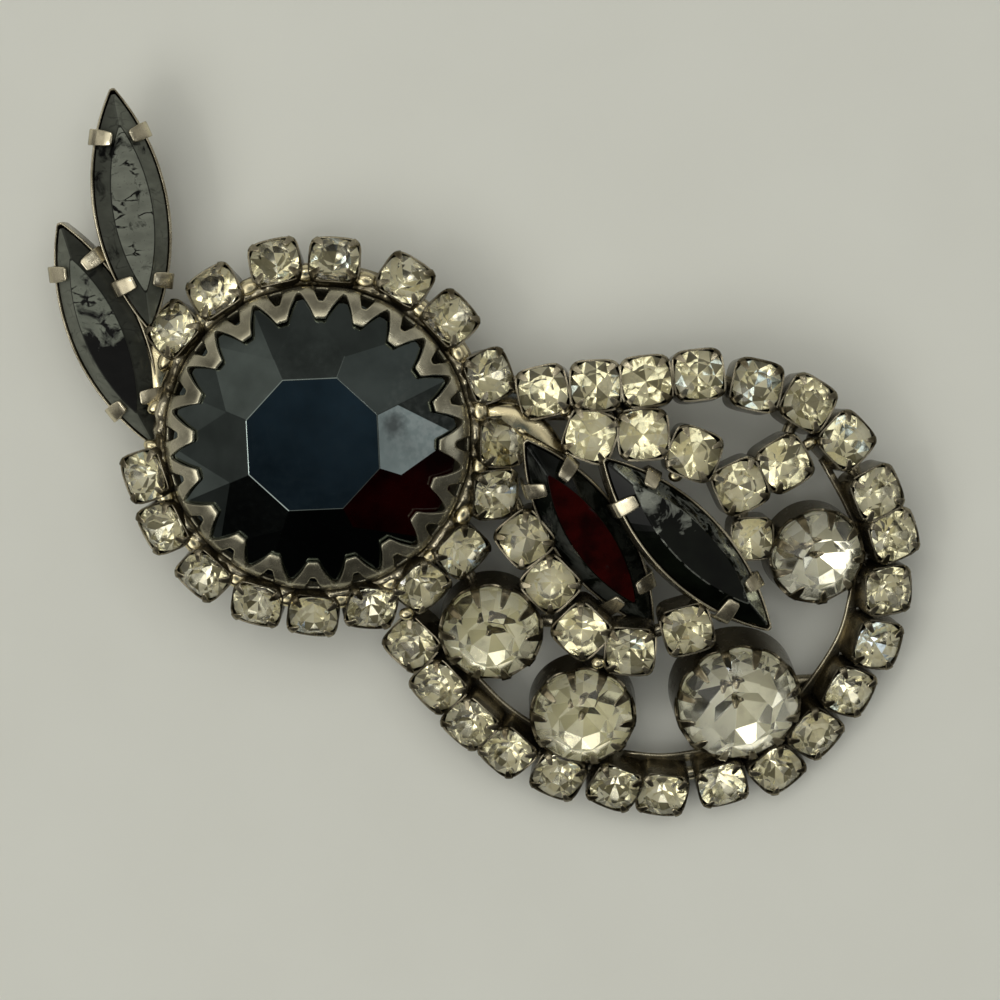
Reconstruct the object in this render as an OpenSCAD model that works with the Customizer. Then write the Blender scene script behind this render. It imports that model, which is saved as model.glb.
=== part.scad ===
// Rhinestone brooch: a big dark faceted stone in a pierced crown setting, ringed by small square-set
// rhinestones, with two dark navettes on its left and an open, domed wing of stones on its right.
// The brooch lies on its back. +X is to the right, +Y is up the face of the brooch and +Z is towards
// the viewer. The origin is under the middle of its outline, on the surface that it lies on.

/* [Centre stone] */
// Diameter of the big dark stone
centre_d = 18; // [16:0.5:18]
// Height of its girdle above the surface
centre_z = 7.4; // [7.2:0.1:8]
// Width of its table across the flats
centre_table = 8.4; // [6:0.05:11]
// Height of its crown, from girdle to table
centre_crown = 2.75; // [2:0.05:3.5]

/* [Crown setting] */
// Number of pierced prongs round the big stone
crown_prongs = 20; // [16:1:24]
// Thickness of the crown's metal
crown_wall = 0.35; // [0.3:0.05:0.45]
// Width of the hole in the foot of each prong
crown_hole = 0.8; // [0.4:0.1:1]

/* [Small stones] */
// Diameter of each small rhinestone
small_d = 2.95; // [2.6:0.05:3]
// Outside width of a square cup
cup_w = 3.42; // [3.3:0.02:3.6]
// Thickness of a cup's wall
cup_wall = 0.2; // [0.15:0.05:0.25]
// Depth of a cup below the girdle of its stone
cup_depth = 2.1; // [2:0.1:2.5]
// Width of the four corner prongs
corner_prong = 0.62; // [0.4:0.02:0.8]

/* [Ring] */
// Height of the ring stones' girdles
ring_z = 6.4; // [6:0.1:6.6]
// Outward lean of the ring cups, in degrees
ring_lean = 32; // [24:1:34]

/* [Wing] */
// Height of the stones at the middle of the wing
wing_z = 7.25; // [7:0.05:7.5]
// Slope of the whole wing towards +X, in degrees
wing_slope_x = 4; // [0:1:6]
// Slope of the whole wing towards -Y, in degrees
wing_slope_y = 8; // [4:1:10]
// Doming: degrees of lean gained for each millimetre from the middle
wing_curl = 1.2; // [0.8:0.1:1.3]

/* [Navettes] */
// Length of a pointed oval stone
navette_l = 15; // [14:0.1:15.2]
// Width of a pointed oval stone
navette_w = 4.45; // [4:0.05:4.6]
// Width of the bands that hold a navette
navette_prong = 1.05; // [0.8:0.05:1.4]

/* [Pin back] */
// Height of the pin line on the back, above the origin's X axis
pin_y = 3.4; // [2:0.1:5]
// X of the hinge end of the bar
pin_from = -19.5; // [-20:0.5:-16]
// X of the catch end of the bar
pin_to = 9.5; // [6:0.5:12]

/* [Hidden] */
$fn = 48;

gap = 0.05;          // clearance between a stone and its setting
outline_x = 0.44;    // middle of the whole outline, which the origin stands under
outline_y = -0.63;
centre_x = -10.65;   // middle of the big stone and of the ring of small ones
centre_y = 1.12;
wing_x = 13.7;       // middle of the domed wing
wing_y = -8.4;

small_crown = 0.55;
small_table = 1.42;
small_pavilion = 1.4;
cup_rim = 0.3;       // height of a cup's rim above the girdle
cup_floor = 0.35;
cup_corner = 4.3;    // diameter of the circle that rounds a cup's corners

// Ring cups: place round the ring in degrees, distance from its middle, turn of the square
ring_cups = [
    [143, 11.8, 48], [125, 11.7, 32], [103.5, 11.8, 13], [84.5, 11.65, -3], [61, 11.8, -33],
    [42, 11.65, -48], [20, 11.9, 20], [-1.2, 12.0, -2], [-17.8, 12.15, 0], [-38.5, 12, 45],
    [-55.5, 11.9, 45], [-73, 11.7, -10], [-92, 11.7, -8], [-110.5, 11.7, -12], [-130, 11.8, -44],
    [-150, 11.8, 26], [-167.5, 11.65, 19]];

// Outer loop of the wing: x, y, turn of the square
loop_cups = [
    [4.0, 4.2, 13], [7.4, 4.6, 2], [10.7, 4.9, 6], [14.1, 5.3, 7], [17.9, 4.6, -12], [21.3, 3.4, -30],
    [23.9, 0.9, -45], [26.0, -2.6, 24], [27.2, -5.5, 18], [26.9, -9.2, 3], [26.3, -12.9, -15],
    [24.5, -16.1, -25], [22.3, -19.0, -40], [19.8, -21.5, 40], [16.1, -22.5, 12], [12.1, -23.2, -10],
    [8.9, -22.7, -25], [5.1, -21.9, -23], [1.7, -20.2, 47], [-0.8, -18.25, 49], [-2.9, -15.7, 45],
    [-4.7, -12.8, 50]];

// Cups inside the wing: x, y, turn of the square, drop below the dome, size beside a full cup
inner_cups = [
    [7.08, 1.38, -20, 0, 1], [10.5, 1.45, 3, 0, 1], [13.8, 0.2, -20, 0, 1], [16.85, -1.97, 25, 0, 1],
    [19.75, -0.52, 30, 0, 1], [17.7, -5.5, 0, 0.7, 0.85], [2.8, -5.5, 40, 0.4, 1], [4.5, -8.5, 45, 0.4, 1],
    [6.55, -11.6, 47, 0, 1], [9.75, -12.95, -4, 0, 1], [13.5, -11.5, 15, 0, 1]];

// Round stones: x, y, girdle height, diameter, prongs, turn of the prongs, lean to +X, lean to -Y,
// number of a prong left out beside a small cup
round_cups = [
    [0.6, -11.9, 5.5, 6.4, 10, 0, -2, 17, -1], [6.7, -17.6, 4.9, 6.6, 10, -4, 0, 18, 4],
    [17.0, -16.7, 5.1, 8.0, 12, 0, 6, 19, -1], [22.1, -6.8, 5.6, 6.0, 9, 6, 13, 10, -1]];

// Navettes: x, y, girdle height, heading of the long axis, dip of its far end, lean across
navettes = [
    [-22.75, 15.95, 5.7, -81.6, 0, 12], [-24.5, 7.8, 5.2, -67.4, 0, -6],
    [7.05, -5.25, 6.3, -56.4, 14, 0], [13.4, -5.75, 7.6, -45.9, 4, 15]];

// Places of the links between cups, by their numbers in the list of all seats
first_loop = len(ring_cups);
first_inner = first_loop + len(loop_cups);
first_round = first_inner + len(inner_cups);

// Height of the domed wing at a place
function wing_height(x, y) =
    wing_z - tan(wing_slope_x) * (x - wing_x) + tan(wing_slope_y) * (y - wing_y)
    - wing_curl * PI / 360 * (pow(x - wing_x, 2) + pow(y - wing_y, 2));
function lean_x(x) = wing_slope_x + wing_curl * (x - wing_x);
function lean_y(y) = wing_slope_y - wing_curl * (y - wing_y);

// Direction that a piece faces when it leans a degrees to +X and b degrees to -Y
function facing(a, b) = [sin(a), -sin(b) * cos(a), cos(b) * cos(a)];

// Where each cup's foot stands: the points that the links join
function ring_seat(c) =
    let (r = c[1] - cup_depth * sin(ring_lean))
    [centre_x + r * cos(c[0]), centre_y + r * sin(c[0]), ring_z - cup_depth * cos(ring_lean)];
function wing_seat(x, y, z, depth, a, b) = [x, y, z] - depth * facing(a, b);
seats = concat(
    [for (c = ring_cups) ring_seat(c)],
    [for (c = loop_cups) wing_seat(c[0], c[1], wing_height(c[0], c[1]), cup_depth, lean_x(c[0]), lean_y(c[1]))],
    [for (c = inner_cups)
        wing_seat(c[0], c[1], wing_height(c[0], c[1]) - c[3], cup_depth * c[4], lean_x(c[0]), lean_y(c[1]))],
    [for (c = round_cups) wing_seat(c[0], c[1], c[2], round_depth(c[3]), c[6], c[7])]);
function round_depth(d) = 0.38 * d;

// Links across the openwork, as pairs of seats
cross_links = [
    [6, first_loop], [7, first_inner + 6], [9, first_round], [10, first_loop + 21],
    [first_loop, first_inner], [first_loop + 1, first_inner + 1],
    [first_inner, first_inner + 1], [first_inner + 1, first_inner + 2], [first_inner + 2, first_inner + 3],
    [first_inner + 3, first_inner + 4], [first_loop + 5, first_inner + 4], [first_inner + 3, first_inner + 5],
    [first_inner + 5, first_round + 3], [first_inner + 6, first_inner + 7], [first_inner + 7, first_inner + 8],
    [first_inner + 8, first_inner + 9], [first_inner + 9, first_inner + 10], [first_inner + 8, first_round],
    [first_inner + 9, first_round + 1], [first_inner + 10, first_round + 2], [first_round, first_loop + 20],
    [first_round + 1, first_loop + 17], [first_round + 2, first_loop + 14], [first_round + 2, first_loop + 11],
    [first_round + 3, first_loop + 8]];

module at_origin() translate([-outline_x, -outline_y, 0]) children();
module at_centre() at_origin() translate([centre_x, centre_y, 0]) children();

// Leans a degrees to +X and b degrees to -Y
module leaning(a, b) rotate([b, 0, 0]) rotate([0, a, 0]) children();

// Places its children at a ring cup, a wing cup, a round cup or a navette
module at_ring_cup(c)
    at_centre() rotate([0, 0, c[0]]) translate([c[1], 0, ring_z]) rotate([0, ring_lean, 0])
        rotate([0, 0, c[2] - c[0]]) children();
module at_wing_cup(x, y, turn, drop, size)
    at_origin() translate([x, y, wing_height(x, y) - drop]) leaning(lean_x(x), lean_y(y))
        rotate([0, 0, turn]) scale(size) children();
module at_loop_cup(c) at_wing_cup(c[0], c[1], c[2], 0, 1) children();
module at_inner_cup(c) at_wing_cup(c[0], c[1], c[2], c[3], c[4]) children();
module at_round_cup(c) at_origin() translate([c[0], c[1], c[2]]) leaning(c[6], c[7]) children();
module at_navette(c)
    at_origin() translate([c[0], c[1], c[2]]) rotate([0, 0, c[3]]) rotate([0, c[4], 0]) rotate([-c[5], 0, 0])
        children();

// Cut stone: an octagonal table, eight main facets, eight pairs of corner facets, a band round the
// girdle and eight facets below. ridge says how far out the corner facets start, beside the radius.
module cut_stone(d, crown, table, band, pavilion, ridge) {
    r = d / 2;
    girdle = 0.05;
    low = girdle - band;
    slope = (crown - girdle) / (r - table / 2);
    ridge_z = crown - slope * (ridge * r * cos(22.5) - table / 2);
    corner_low = -pavilion + (pavilion + low) * cos(22.5);
    function ring(n, r, turn, z) = [for (i = [0:n - 1]) [r * cos(i * 360 / n + turn), r * sin(i * 360 / n + turn), z]];
    polyhedron(
        points = concat(
            ring(8, table / 2 / cos(22.5), 22.5, crown), ring(8, ridge * r, 22.5, ridge_z), ring(16, r, 0, girdle),
            [for (i = [0:15]) [r * cos(i * 22.5), r * sin(i * 22.5), i % 2 == 0 ? low : corner_low]],
            [[0, 0, -pavilion]]),
        faces = concat(
            [[7, 6, 5, 4, 3, 2, 1, 0]],
            [for (i = [0:7]) let (j = (i + 7) % 8) [j, i, 8 + i, 16 + 2 * i, 8 + j]],
            [for (i = [0:7]) [8 + i, 17 + 2 * i, 16 + 2 * i]],
            [for (i = [0:7]) [8 + i, 16 + (2 * i + 2) % 16, 17 + 2 * i]],
            [for (i = [0:15]) let (j = (i + 1) % 16) [16 + i, 16 + j, 32 + j, 32 + i]],
            [for (i = [0:7]) [32 + (2 * i + 15) % 16, 32 + 2 * i, 33 + 2 * i, 48]]),
        convexity = 2);
}

module small_stone() cut_stone(small_d, small_crown, small_table, 0.1, small_pavilion, 0.86);
module round_stone(d) cut_stone(d, 0.24 * d, 0.48 * d, 0.85, round_depth(d) - 0.4, 0.88);

// Half the width of a pointed oval of length l and width w, at x along it
function navette_arc(l, w) = (pow(l + 0.4, 2) + w * w) / (4 * w);
function navette_half(l, w, x) = sqrt(pow(navette_arc(l, w), 2) - x * x) - navette_arc(l, w) + w / 2;

// Oval outline between two arcs, with rounded tips
module navette_outline(l, w) {
    r = navette_arc(l, w);
    tip = 0.08 * w;
    intersection() {
        translate([0, r - w / 2]) circle(r = r, $fn = 240);
        translate([0, w / 2 - r]) circle(r = r, $fn = 240);
        square([l - 2 * tip, w + 1], center = true);
    }
    for (side = [-1, 1])
        translate([side * (l / 2 - tip), 0]) circle(r = tip, $fn = 32);
}

// Navette stone: a table, a ring of facets down to the girdle and a ring of facets below it
module navette_stone() {
    steps = 16;
    function ring(l, w, z) = [
        for (i = [0:steps - 1])
            let (x = l * cos(i * 360 / steps))
            [x, i % (steps / 2) == 0 ? 0 : sign(sin(i * 360 / steps)) * w / navette_w
                * navette_half(navette_l, navette_w, x / l * navette_l / 2) * 2, z]];
    function fan(a, b) = [
        for (i = [0:steps - 1])
            let (j = (i + 1) % steps)
            each [[a + i, b + j, b + i], [a + i, a + j, b + j]]];
    polyhedron(
        points = concat(
            ring(0.365 * navette_l, 0.26 * navette_w, 1), ring(navette_l / 2, navette_w / 2, 0.1),
            ring(navette_l / 2, navette_w / 2, -0.1), ring(0.3 * navette_l, 0.15 * navette_w, -1.3)),
        faces = concat(
            [[for (i = [steps - 1:-1:0]) i]],
            fan(0, steps), fan(steps, 2 * steps), fan(2 * steps, 3 * steps),
            [[for (i = [0:steps - 1]) 3 * steps + i]]),
        convexity = 2);
}

// A prong's side view, r outwards and z up, swept through its width
module prong(width, profile)
    translate([0, width / 2, 0]) rotate([90, 0, 0]) linear_extrude(width) polygon(profile);

// Square cup: body, pocket and the four bent corner prongs
module cup_outline(w, corner) intersection() {
    square(w, center = true);
    circle(d = corner);
}
module cup_body() translate([0, 0, -cup_depth]) linear_extrude(cup_depth + cup_rim) cup_outline(cup_w, cup_corner);
module cup_pocket()
    translate([0, 0, cup_floor - cup_depth]) linear_extrude(cup_depth - cup_floor + 0.75)
        cup_outline(cup_w - 2 * cup_wall, cup_corner - 2.4 * cup_wall);
module cup_prongs() {
    r = cup_corner / 2 - 0.04;
    for (a = [45:90:315])
        rotate([0, 0, a])
            prong(corner_prong, [[1.64, -1.3], [r, -1.3], [r, 0.32], [1.88, 0.56], [1.28, 0.66], [1.12, 0.55],
                                 [1.12, 0.41], [1.64, 0.1]]);
}

// Round cup: body, pocket and its ring of bent prongs
module round_body(d) translate([0, 0, -round_depth(d)]) cylinder(h = round_depth(d), r = d / 2 + 0.28);
module round_pocket(d) {
    floor_z = 0.35 - round_depth(d);
    translate([0, 0, floor_z]) cylinder(h = 0.24 * d + 0.3 - floor_z, r = d / 2 + gap);
}
module round_prongs(d, count, turn, left_out) {
    r = d / 2;
    for (i = [0:count - 1])
        if (i != left_out)
            rotate([0, 0, 90 + turn + (i + 0.5) * 360 / count])
                prong(0.52, [[r + 0.12, -0.3 * d], [r + 0.4, -0.3 * d], [r + 0.42, 0.25], [r + 0.15, 0.72],
                             [r - 0.48, 1.02], [r - 0.64, 0.88], [r - 0.56, 0.76], [r + 0.12, 0.28]]);
}

// Navette cup: body, pocket and four bands, two near each tip
module navette_body()
    translate([0, 0, -1.75]) linear_extrude(1.85) navette_outline(navette_l + 0.8, navette_w + 0.5);
module navette_pocket()
    translate([0, 0, -1.4]) linear_extrude(2.6) navette_outline(navette_l + 0.25, navette_w + 2 * gap);
module navette_prongs() {
    band_x = navette_l / 2 - 2.65;
    edge_y = navette_half(navette_l, navette_w, band_x);
    for (sx = [-1, 1], sy = [-1, 1])
        translate([sx * band_x, sy * edge_y, 0]) rotate([0, 0, sy * (90 - sx * 16)])
            prong(navette_prong, [[0.12, -1.5], [0.5, -1.5], [0.62, 0.1], [0.44, 0.4], [-0.7, 1.12], [-0.88, 0.98],
                                  [-0.84, 0.88], [0.12, 0.24]]);
}

// Straight link of square wire from one point to another
module link(a, b, wide = 1.1, high = 0.8) {
    d = b - a;
    run = norm([d[0], d[1]]);
    at_origin() translate(a) rotate([0, -atan2(d[2], run), atan2(d[1], d[0])])
        translate([-0.35, -wide / 2, -high / 2]) cube([norm(d) + 0.7, wide, high]);
}

// Ring gallery: a sloping band under the ring cups, a low wall and the plate behind the big stone
module ring_gallery() {
    seat_z = ring_z - cup_depth * cos(ring_lean);
    at_centre() {
        rotate_extrude() translate([9.7, seat_z - 0.67]) square([1.6, 0.75]);
        rotate_extrude() translate([9.7, 2.2]) square([0.6, 2]);
        rotate_extrude() translate([5.2, 2.2]) square([5.1, 0.6]);
    }
}

// Smooth solder plate where the wing joins the ring, with the post that carries it over the pin bar
module yoke()
    at_origin() {
        translate([0, 0, 5.5]) linear_extrude(1.1)
            polygon([[-0.6, 3.3], [2.3, 3.5], [4.4, 2.2], [6.0, -0.4], [4.9, 0.3], [3.6, 0.9], [2.6, 1.0], [1.4, 2.1],
                     [-0.4, 2.0]]);
        translate([2.9, 2.6, 2.25]) cylinder(h = 3.6, d = 1.8);
    }

// Root of the two leaves: the solder that joins them to the ring
module leaf_root()
    at_origin() {
        translate([0, 0, 3.6]) linear_extrude(1.5)
            polygon([[-22.3, 7.6], [-20.6, 8.0], [-19.3, 5.6], [-19.9, 2.4], [-20.5, 0.2], [-21.8, 1.6], [-22.3, 4.5]]);
        translate([-20.9, 4.4, 2.6]) rotate([0, 0, -12]) cube([2, 1.2, 2]);
    }

module all_bodies() {
    for (c = ring_cups) at_ring_cup(c) cup_body();
    for (c = loop_cups) at_loop_cup(c) cup_body();
    for (c = inner_cups) at_inner_cup(c) cup_body();
    for (c = round_cups) at_round_cup(c) round_body(c[3]);
    for (c = navettes) at_navette(c) navette_body();
    for (i = [first_loop:first_inner - 2]) link(seats[i], seats[i + 1]);
    for (pair = cross_links) link(seats[pair[0]], seats[pair[1]]);
    ring_gallery();
    yoke();
    leaf_root();
}

module small_pockets() {
    for (c = ring_cups) at_ring_cup(c) cup_pocket();
    for (c = loop_cups) at_loop_cup(c) cup_pocket();
    for (c = inner_cups) at_inner_cup(c) cup_pocket();
}

module small_prongs() {
    for (c = ring_cups) at_ring_cup(c) cup_prongs();
    for (c = loop_cups) at_loop_cup(c) cup_prongs();
    for (c = inner_cups) at_inner_cup(c) cup_prongs();
}

// Room for the big stones and for the crown setting, which stands free inside the ring
module large_pockets() {
    for (c = round_cups) at_round_cup(c) round_pocket(c[3]);
    for (c = navettes) at_navette(c) navette_pocket();
    for (c = ring_cups)
        at_centre() rotate([0, 0, c[0]])
            prong(3.3, [[7, 3.3], [7.9, 3.3], [8.7, 4.66], [9.9, 6.56], [9.9, 7], [9.5, 7.85], [8.4, 8.8],
                        [7, 8.8]]);
}

module large_prongs() {
    for (c = round_cups) at_round_cup(c) round_prongs(c[3], c[4], c[5], c[8]);
    for (c = navettes)
        difference() {
            at_navette(c) navette_prongs();
            for (other = navettes) if (other != c) at_navette(other) navette_pocket();
        }
}

module soldered_frame()
    color("#6d6656") {
        difference() {
            all_bodies();
            small_pockets();
            large_pockets();
        }
        difference() {
            small_prongs();
            large_pockets();
        }
        difference() {
            large_prongs();
            small_pockets();
        }
    }

// Crown setting: one turned cup, cut into prongs and pierced at the foot of each prong
module crown_setting()
    color("#79715f") at_centre() difference() {
        rotate_extrude()
            polygon([[5.5, 2.9], [7.6, 2.9], [8.6, 4.7], [9.82, 6.6], [9.82, 6.95], [9.42, 7.75], [8.25, 8.68],
                     [8.05, 8.53], [8.08, 8.36], [9.12, 7.6], [9.12, 7.1], [9.12 - crown_wall, 6.3],
                     [8.6 - crown_wall, 5.2], [7.4, 3.3], [5.5, 3.3]]);
        for (i = [0:crown_prongs - 1])
            rotate([0, 0, i * 360 / crown_prongs - 2]) {
                rotate([0, 0, 180 / crown_prongs]) translate([0, 0, 7.05]) linear_extrude(2) {
                    translate([9.05, 0]) circle(r = 0.5, $fn = 32);
                    polygon([[7.6, 0.9], [7.6, -0.9], [8.95, -0.49], [8.95, 0.49]]);
                }
                translate([9.7, 0, 6.85]) rotate([0, 42, 0]) translate([0, 0, -0.5])
                    cylinder(h = 1.6, d = crown_hole, $fn = 24);
            }
    }

// Pin back: bar, hinge block, pin stem and catch in one piece
module pin_back()
    color("#807a6a") at_origin() translate([0, pin_y, 0]) {
        translate([pin_from, -1.5, 1.6]) cube([pin_to - pin_from, 3, 0.55]);
        translate([pin_from, -1.5, 0]) cube([2.6, 3, 1.7]);
        translate([pin_to - 2.6, -1.5, 0]) cube([2.6, 3, 1.7]);
        translate([pin_from + 1, 0, 0.8]) rotate([0, 90, 0]) cylinder(h = pin_to - pin_from - 2, d = 0.9);
    }

module centre_stone()
    color("#1f2a30") at_centre() translate([0, 0, centre_z])
        cut_stone(centre_d, centre_crown, centre_table, 0.25, 3.4, 0.66);

module leaf_stone_upper() color("#4b4f49") at_navette(navettes[0]) navette_stone();
module leaf_stone_lower() color("#3d403b") at_navette(navettes[1]) navette_stone();
module wing_stone_left() color("#3a0d0c") at_navette(navettes[2]) navette_stone();
module wing_stone_right() color("#23261f") at_navette(navettes[3]) navette_stone();

module round_stone_left() color("#b8b083") at_round_cup(round_cups[0]) round_stone(round_cups[0][3]);
module round_stone_low() color("#b8b083") at_round_cup(round_cups[1]) round_stone(round_cups[1][3]);
module round_stone_large() color("#b8b083") at_round_cup(round_cups[2]) round_stone(round_cups[2][3]);
module round_stone_right() color("#b8b083") at_round_cup(round_cups[3]) round_stone(round_cups[3][3]);

module ring_stones() color("#c9c193") for (c = ring_cups) at_ring_cup(c) small_stone();
module loop_stones() color("#c9c193") for (c = loop_cups) at_loop_cup(c) small_stone();
module inner_stones() color("#c9c193") for (c = inner_cups) at_inner_cup(c) small_stone();

soldered_frame();
crown_setting();
pin_back();
centre_stone();
leaf_stone_upper();
leaf_stone_lower();
wing_stone_left();
wing_stone_right();
round_stone_left();
round_stone_low();
round_stone_large();
round_stone_right();
ring_stones();
loop_stones();
inner_stones();
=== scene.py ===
"""Visual model of the rhinestone brooch: worked settings, cut stones and their finishes.

Shapes are worked out in millimetres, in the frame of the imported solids, and put into the scene in metres.
"""

import logging
import math
from dataclasses import dataclass, field, replace
from enum import Enum
from typing import NamedTuple

import bpy
import numpy as np
from mathutils import Matrix, Vector


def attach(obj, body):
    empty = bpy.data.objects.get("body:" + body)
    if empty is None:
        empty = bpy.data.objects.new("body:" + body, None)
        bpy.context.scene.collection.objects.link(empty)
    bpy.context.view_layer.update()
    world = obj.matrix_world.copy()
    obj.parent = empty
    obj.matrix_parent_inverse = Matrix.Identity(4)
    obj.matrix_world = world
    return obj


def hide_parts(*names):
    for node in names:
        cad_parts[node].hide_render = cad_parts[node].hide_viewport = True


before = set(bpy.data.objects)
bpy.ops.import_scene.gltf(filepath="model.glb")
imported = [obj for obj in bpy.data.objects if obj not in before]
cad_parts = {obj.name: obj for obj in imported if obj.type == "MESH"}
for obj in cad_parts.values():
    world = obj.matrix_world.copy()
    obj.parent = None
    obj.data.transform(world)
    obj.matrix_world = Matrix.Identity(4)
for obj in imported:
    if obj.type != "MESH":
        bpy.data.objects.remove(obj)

LOG = logging.getLogger("brooch")
MM = 0.001
Array = np.ndarray
Colour = tuple[float, float, float]
Line = tuple[tuple[float, float], ...]
Shape = tuple[Array, list[Array]]
Material = bpy.types.Material
Tree = bpy.types.NodeTree
Node = bpy.types.Node
Socket = bpy.types.NodeSocket
Piece = bpy.types.Object


# Turns and places


def turn_x(degrees: float) -> Array:
    """Matrix of a turn about X."""
    c, s = math.cos(math.radians(degrees)), math.sin(math.radians(degrees))
    return np.array([[1, 0, 0], [0, c, -s], [0, s, c]])


def turn_y(degrees: float) -> Array:
    """Matrix of a turn about Y."""
    c, s = math.cos(math.radians(degrees)), math.sin(math.radians(degrees))
    return np.array([[c, 0, s], [0, 1, 0], [-s, 0, c]])


def turn_z(degrees: float) -> Array:
    """Matrix of a turn about Z."""
    c, s = math.cos(math.radians(degrees)), math.sin(math.radians(degrees))
    return np.array([[c, -s, 0], [s, c, 0], [0, 0, 1]])


@dataclass(frozen=True)
class Seat:
    """Where a setting stands: its turn, the place of its girdle and its size beside a full one."""

    turn: Array
    place: Array
    size: float = 1.0

    def put(self, points: Array) -> Array:
        """The points, given about the girdle's middle, in the frame of the brooch."""
        return (points * self.size) @ self.turn.T + self.place

    def foot(self, depth: float) -> Array:
        """The point that lies depth below the girdle's middle."""
        return self.put(np.array([0.0, 0.0, -depth]))


class RoundPlace(NamedTuple):
    """A round stone: girdle, diameter, claws, turn of the claws, leans, and the claw that is missing."""

    x: float
    y: float
    z: float
    diameter: float
    claws: int
    turn: float
    lean_y: float
    lean_x: float
    missing: int = -1


@dataclass(frozen=True)
class Layout:
    """The tables that place every setting, as the solids have them.

    The tables have a frame of their own, in which outline is the middle of the brooch. The wing is a dome
    about its middle, which slopes by wing_slope degrees and curls by wing_curl degrees for each millimetre.
    """

    outline: tuple[float, float] = (0.44, -0.63)
    centre: tuple[float, float] = (-10.65, 1.12)
    ring_z: float = 6.4
    ring_lean: float = 32.0
    wing: tuple[float, float, float] = (13.7, -8.4, 7.25)
    wing_slope: tuple[float, float] = (4.0, 8.0)
    wing_curl: float = 1.2
    # Ring cups: degrees round the ring, distance, turn of the square
    ring: tuple[tuple[float, ...], ...] = (
        (143, 11.8, 48), (125, 11.7, 32), (103.5, 11.8, 13), (84.5, 11.65, -3), (61, 11.8, -33),
        (42, 11.65, -48), (20, 11.9, 20), (-1.2, 12.0, -2), (-17.8, 12.15, 0), (-38.5, 12, 45),
        (-55.5, 11.9, 45), (-73, 11.7, -10), (-92, 11.7, -8), (-110.5, 11.7, -12), (-130, 11.8, -44),
        (-150, 11.8, 26), (-167.5, 11.65, 19))
    # Outer loop: x, y, turn of the square
    loop: tuple[tuple[float, ...], ...] = (
        (4.0, 4.2, 13), (7.4, 4.6, 2), (10.7, 4.9, 6), (14.1, 5.3, 7), (17.9, 4.6, -12), (21.3, 3.4, -30),
        (23.9, 0.9, -45), (26.0, -2.6, 24), (27.2, -5.5, 18), (26.9, -9.2, 3), (26.3, -12.9, -15),
        (24.5, -16.1, -25), (22.3, -19.0, -40), (19.8, -21.5, 40), (16.1, -22.5, 12), (12.1, -23.2, -10),
        (8.9, -22.7, -25), (5.1, -21.9, -23), (1.7, -20.2, 47), (-0.8, -18.25, 49), (-2.9, -15.7, 45),
        (-4.7, -12.8, 50))
    # Cups inside the wing: x, y, turn of the square, drop below the dome, size
    inner: tuple[tuple[float, ...], ...] = (
        (7.08, 1.38, -20, 0, 1), (10.5, 1.45, 3, 0, 1), (13.8, 0.2, -20, 0, 1), (16.85, -1.97, 25, 0, 1),
        (19.75, -0.52, 30, 0, 1), (17.7, -5.5, 0, 0.7, 0.85), (2.8, -5.5, 40, 0.4, 1),
        (4.5, -8.5, 45, 0.4, 1), (6.55, -11.6, 47, 0, 1), (9.75, -12.95, -4, 0, 1), (13.5, -11.5, 15, 0, 1))
    rounds: tuple[RoundPlace, ...] = (
        RoundPlace(0.6, -11.9, 5.5, 6.4, 10, 0, -2, 17), RoundPlace(6.7, -17.6, 4.9, 6.6, 10, -4, 0, 18, 4),
        RoundPlace(17.0, -16.7, 5.1, 8.0, 12, 0, 6, 19), RoundPlace(22.1, -6.8, 5.6, 6.0, 9, 6, 13, 10))
    # Pointed ovals: x, y, girdle height, heading, dip of the far end, lean across
    navettes: tuple[tuple[float, ...], ...] = (
        (-22.75, 15.95, 5.7, -81.6, 0, 12), (-24.5, 7.8, 5.2, -67.4, 0, -6),
        (7.05, -5.25, 6.3, -56.4, 14, 0), (13.4, -5.75, 7.6, -45.9, 4, 15))

    def at(self, x: float, y: float, z: float) -> Array:
        """A point of the tables in the frame of the brooch."""
        return np.array([x - self.outline[0], y - self.outline[1], z])

    def middle(self) -> Array:
        """The big stone's middle, on the surface that the brooch lies on."""
        return self.at(*self.centre, 0.0)

    def height(self, x: float, y: float) -> float:
        """Height of the domed wing: a sloping plane less a curl that grows with the square of the distance.

        Args:
            x: place to the right, in the frame of the tables.
            y: place up the face.

        Returns:
            Height of the dome there.
        """
        dx, dy = x - self.wing[0], y - self.wing[1]
        fall_x, fall_y = (math.tan(math.radians(slope)) for slope in self.wing_slope)
        curl = self.wing_curl * math.pi / 360
        return self.wing[2] - (fall_x * dx - fall_y * dy) - curl * (dx * dx + dy * dy)

    def ring_seats(self) -> list[Seat]:
        """Seats of the small cups round the big stone, each leaning outwards.

        Returns:
            A seat for each row of the ring's table.
        """
        seats = []
        for angle, distance, turn in self.ring:
            out = turn_z(angle)
            place = self.middle() + out @ np.array([distance, 0, self.ring_z])
            seats.append(Seat(out @ turn_y(self.ring_lean) @ turn_z(turn - angle), place))
        return seats

    def wing_seat(self, x: float, y: float, turn: float, drop: float = 0.0, size: float = 1.0) -> Seat:
        """Seat on the domed wing, which leans further the further it is from the wing's middle.

        Args:
            x: place to the right, in the frame of the tables.
            y: place up the face.
            turn: turn of the cup on the dome, in degrees.
            drop: how far the girdle lies below the dome.
            size: size beside a full cup.

        Returns:
            The seat.
        """
        lean_x = self.wing_slope[0] + self.wing_curl * (x - self.wing[0])
        lean_y = self.wing_slope[1] - self.wing_curl * (y - self.wing[1])
        place = self.at(x, y, self.height(x, y) - drop)
        return Seat(turn_x(lean_y) @ turn_y(lean_x) @ turn_z(turn), place, size)

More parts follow.
